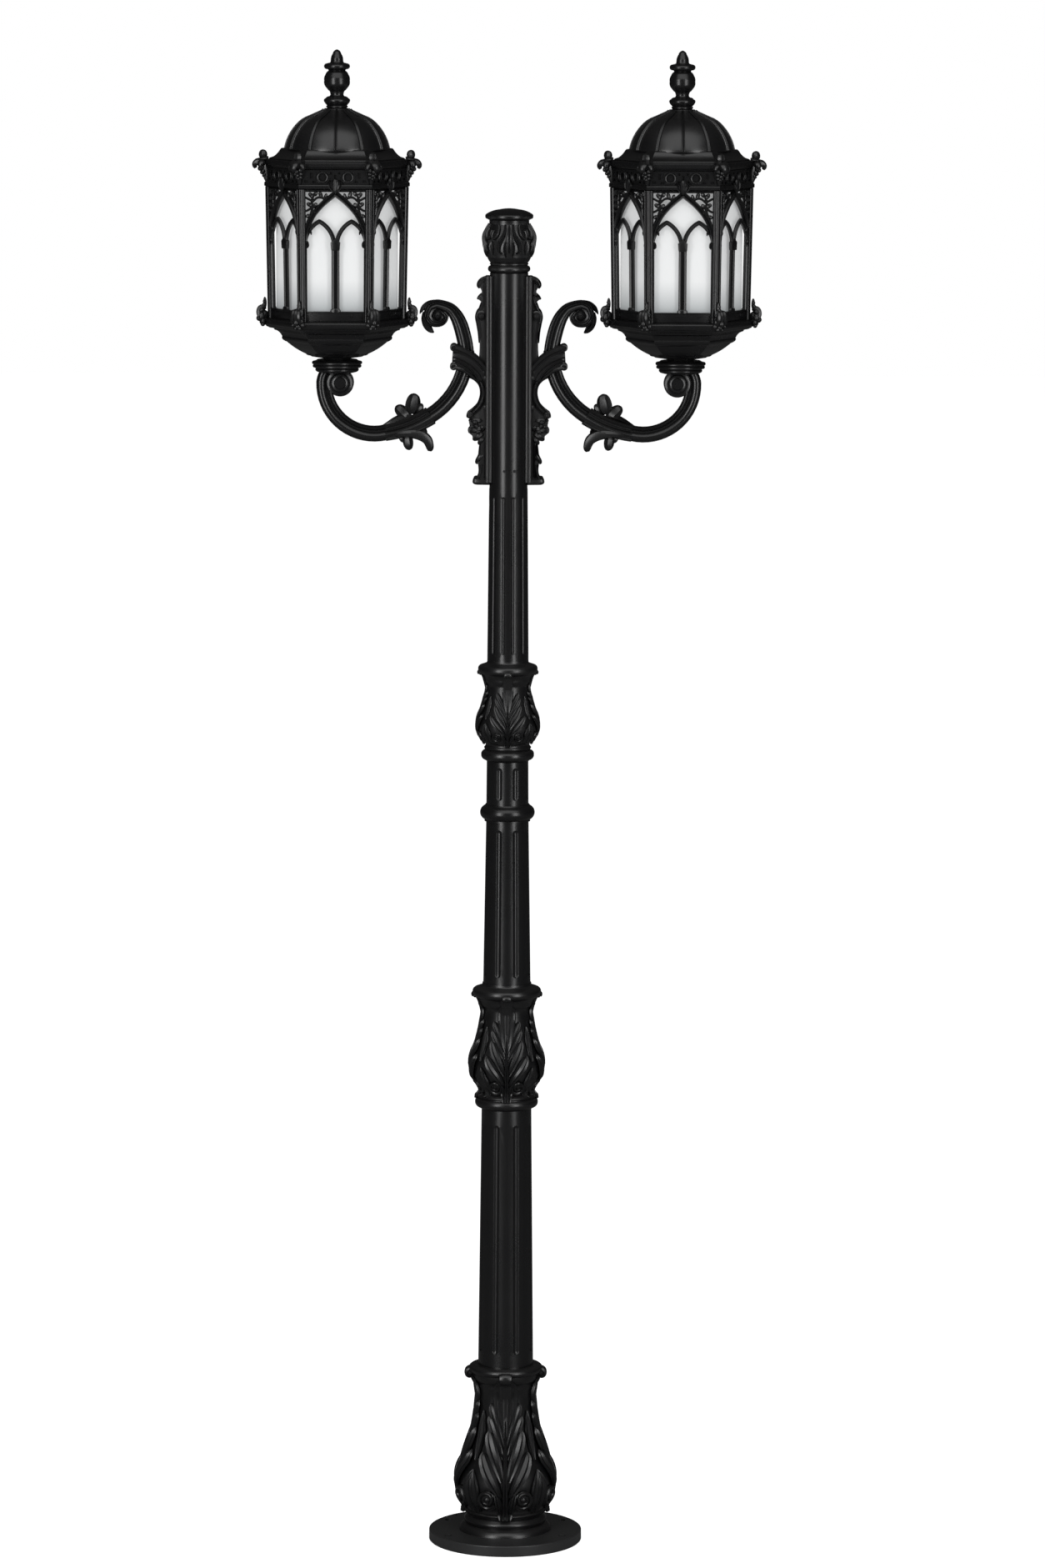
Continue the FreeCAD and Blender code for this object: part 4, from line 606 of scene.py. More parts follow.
# The parts of half a leaf. Their stations are (share of the way to the next leaf, share of the leaf's height,
# half width, half depth, distance lifted off the body), the last three as shares of the leaf's height.
leafMiddle = [
    ("blade", [(0, 0.42, 0.016, 0.006, 0), (0, 0.54, 0.040, 0.014, 0), (0, 0.68, 0.072, 0.020, 0.002),
               (0, 0.82, 0.094, 0.021, 0.004), (0, 0.92, 0.098, 0.020, 0.008),
               (0, 0.98, 0.080, 0.018, 0.012), (0, 1.02, 0.052, 0.014, 0.012)]),
    ("double", [(0, -0.02, 0.024, 0.022, 0.004), (0, 0.16, 0.021, 0.022, 0.004),
                (0, 0.36, 0.018, 0.020, 0.003), (0, 0.54, 0.012, 0.016, 0.003),
                (0, 0.72, 0.005, 0.012, 0.006)]),
]
leafSide = [
    ("round", [(0.10, 0.62, 0.004, 0.008, 0.006), (0.15, 0.78, 0.0055, 0.009, 0.010),
               (0.17, 0.95, 0.004, 0.007, 0.016)]),
    ("round", [(0.22, 0.70, 0.004, 0.008, 0.008), (0.29, 0.82, 0.0055, 0.009, 0.012),
               (0.32, 0.94, 0.004, 0.007, 0.018)]),
    ("leaf", [(0.05, 0.50, 0.012, 0.014, 0), (0.22, 0.62, 0.026, 0.020, 0.003),
              (0.42, 0.74, 0.032, 0.022, 0.008), (0.56, 0.81, 0.026, 0.020, 0.010),
              (0.62, 0.845, 0.004, 0.006, 0.004)]),
    ("leaf", [(0.05, 0.44, 0.012, 0.014, 0), (0.26, 0.55, 0.028, 0.021, 0.004),
              (0.47, 0.66, 0.034, 0.023, 0.010), (0.60, 0.725, 0.026, 0.020, 0.012),
              (0.66, 0.755, 0.004, 0.006, 0.006)]),
    ("leaf", [(0.08, 0.28, 0.016, 0.016, 0), (0.22, 0.39, 0.036, 0.024, 0.006),
              (0.42, 0.51, 0.045, 0.026, 0.014), (0.56, 0.60, 0.036, 0.022, 0.018),
              (0.63, 0.645, 0.005, 0.006, 0.010)]),
    ("leaf", [(0.13, 0.16, 0.018, 0.018, 0.002), (0.30, 0.26, 0.040, 0.027, 0.010),
              (0.52, 0.365, 0.049, 0.028, 0.018), (0.68, 0.445, 0.036, 0.022, 0.020),
              (0.75, 0.485, 0.005, 0.006, 0.012)]),
    ("leaf", [(0.90, 0.02, 0.020, 0.016, 0), (0.86, 0.12, 0.036, 0.022, 0.004),
              (0.88, 0.22, 0.038, 0.022, 0.008), (0.95, 0.31, 0.022, 0.016, 0.006),
              (1.0, 0.35, 0.004, 0.005, 0)]),
    ("leaf", [(0.10, -0.02, 0.018, 0.018, 0.004), (0.15, 0.06, 0.026, 0.024, 0.008),
              (0.20, 0.14, 0.024, 0.022, 0.010), (0.27, 0.19, 0.004, 0.006, 0.006)]),
]
leafBetween = [("leaf", [(1, 0.42, 0.014, 0.012, 0), (1, 0.55, 0.030, 0.018, 0.002),
                         (1, 0.68, 0.030, 0.018, 0.004), (1, 0.78, 0.006, 0.008, 0)])]
leafCurl = {"place": (0.50, 0.135), "radius": 0.078, "tube": 0.020, "start": -150, "turned": 500,
            "stations": 19, "closing": 0.72, "thinning": 0.35, "deep": 1.1, "lift": 0.3, "rise": 0.5,
            "disc": (0.07176, 0.28), "eye": (0.030, 0.95)}
acanthusLeaf = {"middle": leafMiddle, "side": leafSide, "between": leafBetween, "curl": leafCurl}

# The urn's leaves: a narrow middle, lobes that turn over, and a plain leaf between
urnMiddle = [("leaf", [(0, 0.24, 0.008, 0.02, 0), (0, 0.42, 0.046, 0.05, 0.01),
                       (0, 0.66, 0.062, 0.055, 0.015), (0, 0.88, 0.040, 0.045, 0.01),
                       (0, 0.99, 0.008, 0.02, 0)])]
urnSide = [
    ("leaf", [(0.24, 1.00, 0.026, 0.045, 0), (0.27, 0.84, 0.050, 0.06, 0.012),
              (0.38, 0.64, 0.060, 0.065, 0.016), (0.53, 0.46, 0.054, 0.06, 0.014),
              (0.56, 0.30, 0.040, 0.05, 0.01), (0.46, 0.22, 0.022, 0.035, 0.004),
              (0.38, 0.26, 0.008, 0.02, 0)]),
    ("round", [(0.66, 1.00, 0.028, 0.045, 0), (0.57, 0.88, 0.036, 0.055, 0.012),
               (0.62, 0.72, 0.040, 0.06, 0.014), (0.80, 0.62, 0.040, 0.06, 0.014),
               (0.95, 0.70, 0.034, 0.05, 0.012), (0.92, 0.84, 0.026, 0.045, 0.01),
               (0.80, 0.82, 0.016, 0.035, 0.006)]),
    ("leaf", [(0.18, 0.12, 0.010, 0.02, 0), (0.24, 0.26, 0.034, 0.045, 0.01),
              (0.25, 0.42, 0.030, 0.04, 0.01), (0.20, 0.54, 0.008, 0.02, 0)]),
]
urnBetween = [("leaf", [(1, 0.18, 0.010, 0.02, 0), (1, 0.32, 0.052, 0.05, 0.012),
                        (1, 0.44, 0.058, 0.055, 0.014), (1, 0.56, 0.012, 0.02, 0)])]
urnLeaf = {"middle": urnMiddle, "side": urnSide, "between": urnBetween}

# How the body sinks under the leaves: over these heights at their foot and head, and by which share the
# leaves sink with it. They reach a little above the head, and the broad ones are drawn fuller than listed.
leafBed = {"rise": 12, "fall": 8, "seat": 0.62, "above": 8, "fullness": 1.12}

# Heights are over each piece's foot. The leaves stand between the heights foot and head.
vases = {
    "baseVase": {
        "node": "base_vase", "steps": 128, "chord": 3.2, "count": 4, "foot": 42, "head": 312, "sink": 7.0,
        "hole": 0, "sharp": 42, "leaf": acanthusLeaf,
        "outline": [(77, 0), (93, 0), (92.5, 4, 0.25), (80, 14), (81.5, 18, 0.55), (80.5, 27), (77, 31),
                    (81, 37), (83.5, 39, 0.5), (82, 46), (86, 52, 0.10), (97.5, 74), (101.9, 101, 0.15),
                    (89.5, 146), (76.5, 188, -0.05), (66.9, 229), (62.5, 270, -0.12), (63.5, 296), (64, 312),
                    (65.5, 319), (65.8, 324.4), (67, 324.6, 1.0), (67, 339.6), (65, 341), (50, 341)],
        "tip": [("strip", 4, [(60, 280, 2.5, 12), (61, 298, 4.0, 13.5), (61.6, 311, 4.8, 14),
                              (62.4, 322, 5.0, 14.4), (65.6, 329.4, 5.2, 14.4), (71.4, 331.8, 5.2, 14),
                              (77.2, 328.8, 5.2, 13.2), (79.2, 322.5, 5.0, 12.4), (77, 316.6, 4.8, 11.4),
                              (71.6, 314.6, 4.4, 10), (68, 318, 3, 8)]),
                ("boss", (71.2, 323.2), [(0, 11.8), (3.6, 11.3, 0.2), (6.0, 9.3), (6.0, 0)], 20)],
    },
    "lowerLeafCollar": {
        "node": "lower_leaf_collar", "steps": 112, "chord": 3.0, "count": 4, "foot": 24, "head": 212,
        "sink": 5.4, "hole": 0, "sharp": 42, "leaf": acanthusLeaf,
        "outline": [(50, 0), (53, 0.6), (54.6, 2, 0.40), (63.2, 12, 0.40), (57, 21), (56.6, 22),
                    (58.8, 23, 0.55), (58.8, 28.6), (55.4, 31, -0.2), (53.9, 36), (56, 41.5),
                    (60.2, 49, 0.10), (72.8, 68), (76.9, 91, 0.10), (68.7, 123, -0.02), (61, 150),
                    (54.6, 184, -0.10), (52.6, 208), (53.8, 217, -0.06), (58.4, 225), (61.8, 227, 0.42),
                    (68.8, 236, 0.42), (61.6, 245.4), (57, 247), (52, 248.6, -0.2), (49.4, 251.4),
                    (48.8, 255)],
        "tip": [("strip", 4, [(50.5, 196, 2.4, 10), (53, 212, 3.6, 11.5), (56.6, 224, 4.6, 12),
                              (61.4, 231, 4.8, 11.5), (66, 233.4, 4.4, 10), (68.8, 230.6, 3.4, 8),
                              (68.2, 226.4, 2.0, 5)]),
                ("boss", (63.6, 228), [(0, 8.5), (2.28, 8.0, 0.2), (3.8, 6.0), (3.8, 0)], 20)],
    },
    "upperLeafCollar": {
        "node": "upper_leaf_collar", "steps": 96, "chord": 2.8, "count": 4, "foot": 36, "head": 160,
        "sink": 4.6, "hole": 0, "sharp": 42, "leaf": acanthusLeaf,
        "outline": [(41, 0), (43.4, 0.6), (45, 2.2, 0.40), (52.8, 12.4, 0.40), (46.2, 21.6), (44.2, 22.8),
                    (45.4, 23.8, 0.55), (45.4, 29.4), (43.8, 31.4), (43.8, 34), (46.4, 36.8), (51.2, 40),
                    (61.3, 54, 0.12), (64.9, 74, 0.10), (57.3, 104, -0.02), (50.1, 129, -0.08),
                    (45.5, 154, -0.08), (46.5, 166, -0.05), (50.4, 173.6), (53, 175.4, 0.42),
                    (59.3, 184, 0.42), (52.6, 192.8), (48, 194.4), (43.6, 196, -0.2), (41.4, 198.4),
                    (41, 202)],
        "tip": [("strip", 4, [(43, 146, 2.2, 8.5), (45.5, 159, 3, 9.5), (48, 170, 3.8, 10),
                              (52.2, 177.6, 4.0, 9.6), (56.6, 179.8, 3.6, 8.4), (59.0, 177, 2.8, 6.6),
                              (58.4, 173.4, 1.6, 4)]),
                ("boss", (54.6, 175), [(0, 7.2), (1.92, 6.7, 0.2), (3.2, 4.7), (3.2, 0)], 20)],
    },
    "capUrn": {
        "node": "cap_urn", "steps": 96, "chord": 1.6, "count": 4, "foot": 23, "head": 97, "sink": 1.6,
        "hole": 20.3, "sharp": 40, "leaf": urnLeaf,
        "outline": [(36.5, 0), (37.5, 1.6, 0.7), (37.5, 14.4), (36.6, 15.4), (36.8, 16, 0.8), (36.8, 20),
                    (37.6, 20.8), (40.5, 24.5), (44.7, 31, 0.1), (49.0, 60, 0.18), (46, 84, 0.05),
                    (39.6, 96, -0.1), (39.4, 100)],
    },
}


# Radius of a vase's leaves and of the body under them, at a height over its foot
def leafRadius(vase, height):
    return float(np.interp(height, vase["heights"], vase["radii"]))


def bodySink(vase, height):
    rise = (height - vase["foot"]) / leafBed["rise"]
    fall = (vase["head"] - height) / leafBed["fall"]
    return vase["sink"] * max(0.0, min(1.0, rise, fall))


# Bend flat leaf parts, drawn in millimetres across the leaf, round the body
def wrapRound(verts, vase, foot):
    for vert in verts:
        height = vert.co.z - foot
        girth = leafRadius(vase, height)
        radius = girth - bodySink(vase, height) * leafBed["seat"] - vert.co.y
        angle = vert.co.x / girth
        vert.co.x, vert.co.y = radius * math.sin(angle), -radius * math.cos(angle)


def leafParts(bm, parts, vase, foot, side=1):
    tall = vase["head"] - vase["foot"]
    made = []
    for kind, stations in parts:
        rows = []
        for across, up, half, deep, lift in stations:
            height = vase["foot"] + up * tall
            reach = leafRadius(vase, height) * math.pi / vase["count"]
            width = half * tall * (leafBed["fullness"] if kind == "leaf" else 1)
            rows.append((side * across * reach, foot + height, width, deep * tall, -lift * tall))
        made += ribbon(bm, kind, rows, 4)
    return made


# The curl at a leaf's foot: a spiral tube on a low disc, with a round eye
def curlParts(bm, curl, vase, foot, side):
    tall = vase["head"] - vase["foot"]
    height = vase["foot"] + curl["place"][1] * tall
    centre = side * curl["place"][0] * leafRadius(vase, height) * math.pi / vase["count"]
    tube = curl["tube"] * tall
    rows = []
    for share in np.linspace(0, 1, curl["stations"]):
        angle = math.radians(curl["start"] + curl["turned"] * share)
        radius = curl["radius"] * tall * (1 - curl["closing"] * share)
        rows.append((centre + side * radius * math.cos(angle), foot + height + radius * math.sin(angle),
                     tube * (1 - curl["thinning"] * share), tube * curl["deep"],
                     -tube * (curl["lift"] + curl["rise"] * share)))
    made = ribbon(bm, "round", rows, 2)
    for size, out in (curl["disc"], curl["eye"]):
        cushion = ball(bm, (centre, 0, foot + height), size * tall)
        bmesh.ops.scale(bm, verts=cushion, vec=(1, out, 1))
        made += cushion
    return made


# The leaves' tips under the head ring, each a strip that rolls over, with its roll filled
def leafTips(vase, foot):
    bm = bmesh.new()
    addForms(bm, vase["tip"], foot)
    faceOut(bm)
    repeatAround(bm, vase["count"])
    return bm


def leafVase(name, vase):
    foot = level(vase["node"])
    parts = vase["leaf"]
    profile = outlinePoints(vase["outline"], False, vase["chord"], True)
    leafZone = [point for point in profile if vase["foot"] <= point.y <= vase["head"] + leafBed["above"]]
    vase["heights"] = [point.y for point in leafZone]
    vase["radii"] = [point.x for point in leafZone]
    points = [(point.x - bodySink(vase, point.y), foot + point.y) for point in profile]
    points = [(vase["hole"], points[0][1])] + points + [(vase["hole"], points[-1][1])]
    bm = bmesh.new()
    turnOutline(bm, points, vase["steps"], vase["hole"] > 0)
    leaf = bmesh.new()
    verts = leafParts(leaf, parts["middle"] + parts["between"], vase, foot)
    for side in (-1, 1):
        verts += leafParts(leaf, parts["side"], vase, foot, side)
        if "curl" in parts:
            verts += curlParts(leaf, parts["curl"], vase, foot, side)
    wrapRound(verts, vase, foot)
    faceOut(leaf)
    repeatAround(leaf, vase["count"])
    absorb(bm, leaf)
    if "tip" in vase:
        absorb(bm, leafTips(vase, foot))
    faceOut(bm)
    makePiece(bm, name, vase["node"], "leafPaint", vase["sharp"])


# Plain turned pieces: the ring between the shafts, the cap's lid, and a lantern's saddle, bowl and sill
middleRing = {
    "node": "middle_ring", "chord": 1.6, "steps": 96, "sharp": 34, "closed": True,
    "outline": [(36, 0), (45.8, 0), (45.8, 3.2), (46.6, 3.9, 0.60), (46.6, 30.4), (45, 31.4), (43.5, 34),
                (36, 34)],
}
capLid = {
    "node": "cap_lid", "chord": 1.6, "steps": 96, "sharp": 34, "closed": False,
    "outline": [(0, 0), (20, 0), (20, 10), (39.4, 10), (39.4, 14), (42.5, 15.6, -0.1), (45.4, 16.8, 0.35),
                (47.4, 21, 0.40), (44.6, 26.4), (42.6, 27.6), (41.6, 28.4, 0.10), (21, 34.6, 0.05),
                (2.3, 37), (0, 37)],
}
saddle = {
    "node": "saddle", "chord": 1.6, "steps": 80, "sharp": 34,
    "outline": [(9.8, 0), (33, 0), (38, 1.2, 0.2), (42.4, 4, 0.45), (41.8, 8.4), (43.6, 9.2),
                (47, 10.4, 0.45), (47.6, 15), (46.6, 16), (48.6, 17, 0.50), (48.4, 22.4), (42.5, 23.8),
                (39.6, 26), (9.8, 26)],
}
bowl = {
    "node": "bowl", "chord": 4, "steps": 6, "sharp": 28,
    "outline": [(10.6, 0), (49, 0), (51.5, 1.2), (54, 2.5, 0.3), (62, 6, 0.08), (99, 29.5, 0.1),
                (107.5, 34, 0.35), (108.5, 40.5), (110, 43, -0.25), (123.5, 53), (125.1, 55.9), (118, 55.9),
                (104, 46), (101, 36), (92, 30), (50, 8), (10.6, 4)],
}
sill = {
    "node": "sill", "chord": 3, "steps": 6, "sharp": 28,
    "outline": [(126, 0), (127.5, 1.5, 0.3), (137, 3.6, 0.4), (140, 5), (140.6, 6), (145, 8, 0.3),
                (146.5, 11), (146.5, 16.5, 0.2), (144, 19), (139, 20.9), (106.5, 20.9), (106.5, 0)],
}


def turnedOnPost(name, values):
    bm = turnedMesh(values, level(values["node"]), values["closed"])
    makePiece(bm, name, values["node"], "blackPaint", values["sharp"])


def turnedOnLanterns(name, values):
    bm = turnedMesh(values, level("right_" + values["node"]))
    makePair(bm, name, values["node"], "blackPaint", values["sharp"])


# Cornice: a moulding, and over each face a pierced frieze with a leafy crown above the arch's point. Places
# on the frieze are over the middle of its height, those of the crown over the cornice's foot.
cornice = {
    "outline": [(139, 0), (141, 0.6), (143.5, 2.2), (143.5, 7.5, 0.3), (141.5, 9.8), (134.5, 10.3),
                (134.5, 38.0), (142, 40, -0.2), (144.5, 42.5), (146, 44), (146, 52.4, 0.3), (144.5, 54),
                (122, 54), (122, 0)],
    "chord": 3, "steps": 6, "sharp": 28,
    "frieze": {"radius": 139.0, "low": 9.9, "high": 38.4, "half": 68.5, "thick": 3.4},
    "eye": (25.0, 7.2), "middleSlot": ((0, 0.5), 4.6, 9),
    "slots": [((46.5, 3.5), 6, 11), ((57, -8), 7, 5), ((41, -9), 7, 4.5)],
    "pinholes": [((8, 8), 2.6), ((8, -8.2), 2.6)],
    "hoop": {"outline": [(7.7, -1.5), (10.9, -1.5), (10.9, 0.4, 0.9), (7.7, 0.4)], "chord": 0.8,
             "steps": 28},
    "braces": {"across": 14.5, "up": 12.0, "halfWidth": 1.7, "halfDepth": 1.9,
               "turns": [(0, 1.25), (math.pi, 1.0)]},
    "crownOut": 2.5, "crown": [("bud", (0, -6), (0, 21), 7.5, 4.5)],
    "crownLeaves": [("leaf", 3, [(3, -2, 3, 3), (9, 4, 3.6, 3), (11, 11, 2.8, 2.6), (15, 13, 1.2, 1.6)]),
                    ("leaf", 3, [(3, 5, 2.5, 2.6, -1), (7, 13, 2.6, 2.4, -1), (5, 19, 1.4, 1.6, -1)])],
}


def friezeLoops(values, middle):
    frieze = values["frieze"]
    place, width, height = values["middleSlot"]
    loops = [squarePoints((0, middle), 2 * frieze["half"], frieze["high"] - frieze["low"]),
             squarePoints((place[0], middle + place[1]), width, height)]
    for side in (-1, 1):
        loops.append(circlePoints((side * values["eye"][0], middle), values["eye"][1], 24))
        for (across, up), width, height in values["slots"]:
            loops.append(squarePoints((side * across, middle + up), width, height))
        for (across, up), radius in values["pinholes"]:
            loops.append(circlePoints((side * across, middle + up), radius, 12))
    return loops


def cornicePiece():
    values, frieze, braces = cornice, cornice["frieze"], cornice["braces"]
    foot = level("right_cornice")
    middle = foot + (frieze["low"] + frieze["high"]) / 2
    depth = -frieze["radius"] * math.cos(math.pi / 6)
    eyePlace = values["eye"][0]
    face = bmesh.new()
    piercedSheet(face, friezeLoops(values, middle), frieze["thick"], depth)
    hoop = turnedMesh(values["hoop"], 0)
    turnAbout(hoop, hoop.verts, math.pi / 2, axis="X")
    bmesh.ops.translate(hoop, verts=hoop.verts, vec=(eyePlace, depth, middle))
    right = absorb(face, hoop)
    for towards, half in braces["turns"]:
        right += ribbon(face, "round", [
            (eyePlace + braces["across"] * math.cos(angle), middle + braces["up"] * math.sin(angle),
             braces["halfWidth"], braces["halfDepth"], depth)
            for angle in np.linspace(towards - half, towards + half, 9)], 2)
    front = depth - values["crownOut"]
    right += addForms(face, values["crownLeaves"], foot, front)
    mirrorParts(face, right, (-1, 1, 1))
    addForms(face, values["crown"], foot, front)
    faceOut(face)
    repeatAround(face, 6)
    bm = turnedMesh(values, foot)
    absorb(bm, face)
    makePair(bm, "Cornice", "cornice", "blackPaint", values["sharp"])


# Roof: a hexagonal skirt, a round dome and the raised bands over it. The dome's corners are shares of its
# radius and height.
roof = {
    "skirt": {"outline": [(121.2, -7), (121.2, 0), (133.5, 0), (134, 1, 0.3), (132.5, 3), (125, 5.5, -0.12),
                          (112.5, 18.5), (110, 21.4, 0.2), (107.5, 22), (98, 22), (98, -7)],
              "chord": 3, "steps": 6},
    "seatGap": 0.1, "radius": 101.2, "height": 78.0, "wall": 4.0, "stud": 5.0, "hem": 2, "chord": 4,
    "steps": 96,
    "corners": [(1.000, 0, 0.135), (0.781, 0.564, 0.16), (0.484, 0.808), (0.298, 0.923, -0.15),
                (0.235, 0.998)],
    "bands": {"count": 12, "lift": 0.6, "thick": 2.7, "headWidth": 1.665, "footWidth": 3.7},
    "sharp": 30,
}


def domeOutline(foot, wall):
    return outlinePoints([(across * roof["radius"] - wall, foot + up * (roof["height"] - wall), *bulge)
                          for across, up, *bulge in roof["corners"]], chord=roof["chord"])


def roofPiece():
    bands = roof["bands"]
    foot = level("right_roof", True) - roof["height"]
    outer, inner = domeOutline(foot, 0), domeOutline(foot, roof["wall"])
    hem = [Vector((edge.x, foot - roof["hem"])) for edge in (outer[0], inner[0])]
    neck = [Vector((roof["stud"], edge.y)) for edge in (outer[-1], inner[-1])]
    shell = bmesh.new()
    turnOutline(shell, [hem[0]] + outer + neck + inner[::-1] + [hem[1]], roof["steps"])
    rows = [(point.x + bands["lift"], point.y, bands["thick"],
             bands["headWidth"] + (bands["footWidth"] - bands["headWidth"]) * point.x / roof["radius"])
            for point in outer[::2]]
    for step in range(bands["count"]):
        turnAbout(shell, ribbon(shell, "strip", rows, 0), 2 * math.pi * step / bands["count"])
    bm = turnedMesh(roof["skirt"], level("right_cornice", True) + roof["seatGap"])
    absorb(bm, shell)
    faceOut(bm)
    makePair(bm, "Roof", "roof", "leafPaint", roof["sharp"], body="roof")


# Finial: bead, cup, ball, ring and bullet, from the foot up, drawn to the height of the solid but for a hair
finial = {
    "outline": [(0, 0), (19, 0), (21.4, 2.4, 0.5), (19.6, 5.2), (22.4, 8.5, 0.1), (25.4, 13, 0.5),
                (22.6, 19.5, 0.25), (15, 23.5, -0.3), (13, 28), (14, 32, -0.2), (17, 35), (23, 42.5, 0.2),
                (25.3, 54, 0.2), (22.6, 66, 0.2), (16.5, 73.5), (17.5, 75.6, -0.2), (20.5, 76.3, 0.9),
                (20.5, 87.6), (14.5, 89, -0.3), (12.6, 91.5), (12.2, 97, 0.12), (8.2, 107, 0.25),
                (3.5, 113.6, 0.2), (0, 115)],
    "chord": 1.6, "steps": 56, "sharp": 40, "hair": 0.02,
}


def finialPiece():
    foot = level("right_finial")
    tall = level("right_finial", True) - foot - finial["hair"]
    bm = turnedMesh(finial, foot, False, tall / finial["outline"][-1][1])
    makePair(bm, "Finial", "finial", "blackPaint", finial["sharp"], body="finial")


# Diffuser: an opal cup, drawn out towards the six corner posts between two radii, by up to its reach
diffuser = {
    "outline": [(30, 0), (92, 0, 0.41), (104, 12), (104, 257), (101, 257), (101, 12, -0.41), (92, 3),
                (30, 3)],
    "chord": 4, "steps": 96, "sharp": 30, "reach": 1.154, "from": 40, "to": 90,
}


def diffuserPiece():
    bm = turnedMesh(diffuser, level("right_diffuser"))
    for vert in bm.verts:
        radius = math.hypot(vert.co.x, vert.co.y)
        offFlat = (math.degrees(math.atan2(vert.co.y, vert.co.x)) % 60) - 30
        drawn = min(1 / math.cos(math.radians(offFlat)), diffuser["reach"])
        grown = float(np.interp(radius, (diffuser["from"], diffuser["to"]), (1, drawn)))
        vert.co.x *= grown
        vert.co.y *= grown
    makePair(bm, "Diffuser", "diffuser", "opalAcrylic", diffuser["sharp"])


# The cage leans out a little. Its radii are those of its corners, and the tracery is inset from its faces.
cage = {"footRadius": 136.5, "headRadius": 141.0, "inset": 5.0}
cageFoot, cageHead = level("right_tracery"), level("right_tracery", True)
cornerPost = {
    "plan": [(-16, -3.5), (-6.4, -10.6), (-4.9, -9.8, 0.62), (-2.7, -5.2), (-2.4, -4.3, 0.66), (-2.4, 4.3),
             (-2.7, 5.2, 0.62), (-4.9, 9.8), (-6.4, 10.6), (-16, 3.5)],
    "chord": 1.1, "sharp": 28,
}


def cornerPostsPiece():
    bm = bmesh.new()
    planSolid(bm, cornerPost["plan"], cornerPost["chord"], (cage["footRadius"], 0, cageFoot),
              (cage["headRadius"] - cage["footRadius"], 0, cageHead - cageFoot))
    makeSixfold(bm, "CornerPosts", "corner_posts", "blackPaint", cornerPost["sharp"])


# Tracery of one face: a rail, a mullion, two lancets under a great arch, and leaf scrolls in the spandrels.
# Heights are over the cage's foot, and those of the capital and the cusps over the spring of the arches.
tracery = {
    "half": 61.4, "rails": [(0.2, 16.5, 6), (16.5, 20, 8.5)], "railEdge": 0.7, "sharp": 32,
    "screw": ("boss", (32, 11), [(0, 4.4), (2.2, 4.2, 0.3), (2.8, 3.2), (2.8, 2)], 14),
    "spring": 149.0, "opening": 55.8, "mullion": 7.0, "bar": 4.3, "depth": 4.2, "overlap": 0.03,
    "post": ("ridge", 0, [(0, 20, 7.7, 4.2), (0, 143, 7.7, 4.2)]),
    "postFoot": ("round", 3, [(0, 19, 10.5, 5.5), (0, 23, 10, 5.4), (0, 26, 7.5, 4.9)]),
    "capital": [(-8, -9.5), (8, -9.5), (8.8, -6), (9.6, 6), (0, 14), (-9.6, 6), (-8.8, -6)],
    "capitalThick": 9, "capitalEdge": 1.0,
    "frame": [("ridge", 0, [(59.4, 20, 4.4, 3.8), (60.0, 155, 4.4, 3.8)]),
              ("ridge", 0, [(0, 255.6, 2.2, 3.4), (62, 255.6, 2.2, 3.4)]),
              ("ridge", 0, [(60.4, 160, 2.0, 3.2), (61.4, 257, 2.0, 3.2)])],
    "greatArch": ("double", 4, [(60.8, 158, 5.0, 5.2), (56.5, 180, 5.3, 5.2), (45, 206, 5.6, 5.2),
                                (26, 229, 5.6, 5.2), (0, 251, 5.6, 5.2)]),
    "cusps": [("leaf", 3, [(60, 9, 3.5, 4), (55, 5, 3.2, 4), (53.5, -1, 2.2, 3.2), (55, -5, 0.8, 1.6)]),
              ("leaf", 3, [(53, 34, 2.5, 3.6), (48.5, 27, 2.6, 3.6), (47, 21, 0.8, 1.6)])],
    # stems as (across, up, half width) and leaves as (root, tip, half width), drawn fuller than listed
    "stems": [[(55, 194, 2.4), (49, 207, 2.6), (45, 222, 2.4), (46, 236, 2.4), (42, 250, 2.6)],
              [(17, 238, 2.6), (27, 243, 2.6), (36, 242, 2.2), (45, 234, 2.2)],
              [(58, 216, 2.0), (52, 219, 2.2), (46, 224, 2.2)],
              [(59, 243, 2.0), (53, 240, 2.2), (46, 236, 2.0)]],
    "leaves": [((45, 223), (36, 232), 4.6), ((46, 226), (56, 232), 4.4), ((49, 208), (58, 205), 4.2),
               ((47, 214), (38, 217), 3.8), ((27, 243), (31, 254), 4.2), ((44, 243), (52, 252), 4.4),
               ((43, 246), (35, 254), 4.2), ((21, 240), (17, 251), 3.4)],
    "stemFullness": 1.12, "stemDepth": 3.2, "leafFullness": 1.02, "leafDepth": 3.8,
}


# The arc from the spring to the lancet's point, from the pole of its jamb or of the mullion
def lancetArc(bm, pole, side, spring):
    radius = tracery["opening"] - tracery["mullion"] + tracery["bar"]
    centreLine = (tracery["opening"] + tracery["mullion"]) / 2
    top = math.acos((tracery["opening"] - centreLine) / radius) + tracery["overlap"]
    return ribbon(bm, "ridge", [(pole + side * radius * math.cos(angle), spring + radius * math.sin(angle),
                                 tracery["bar"], tracery["depth"]) for angle in np.linspace(0, top, 9)], 2)


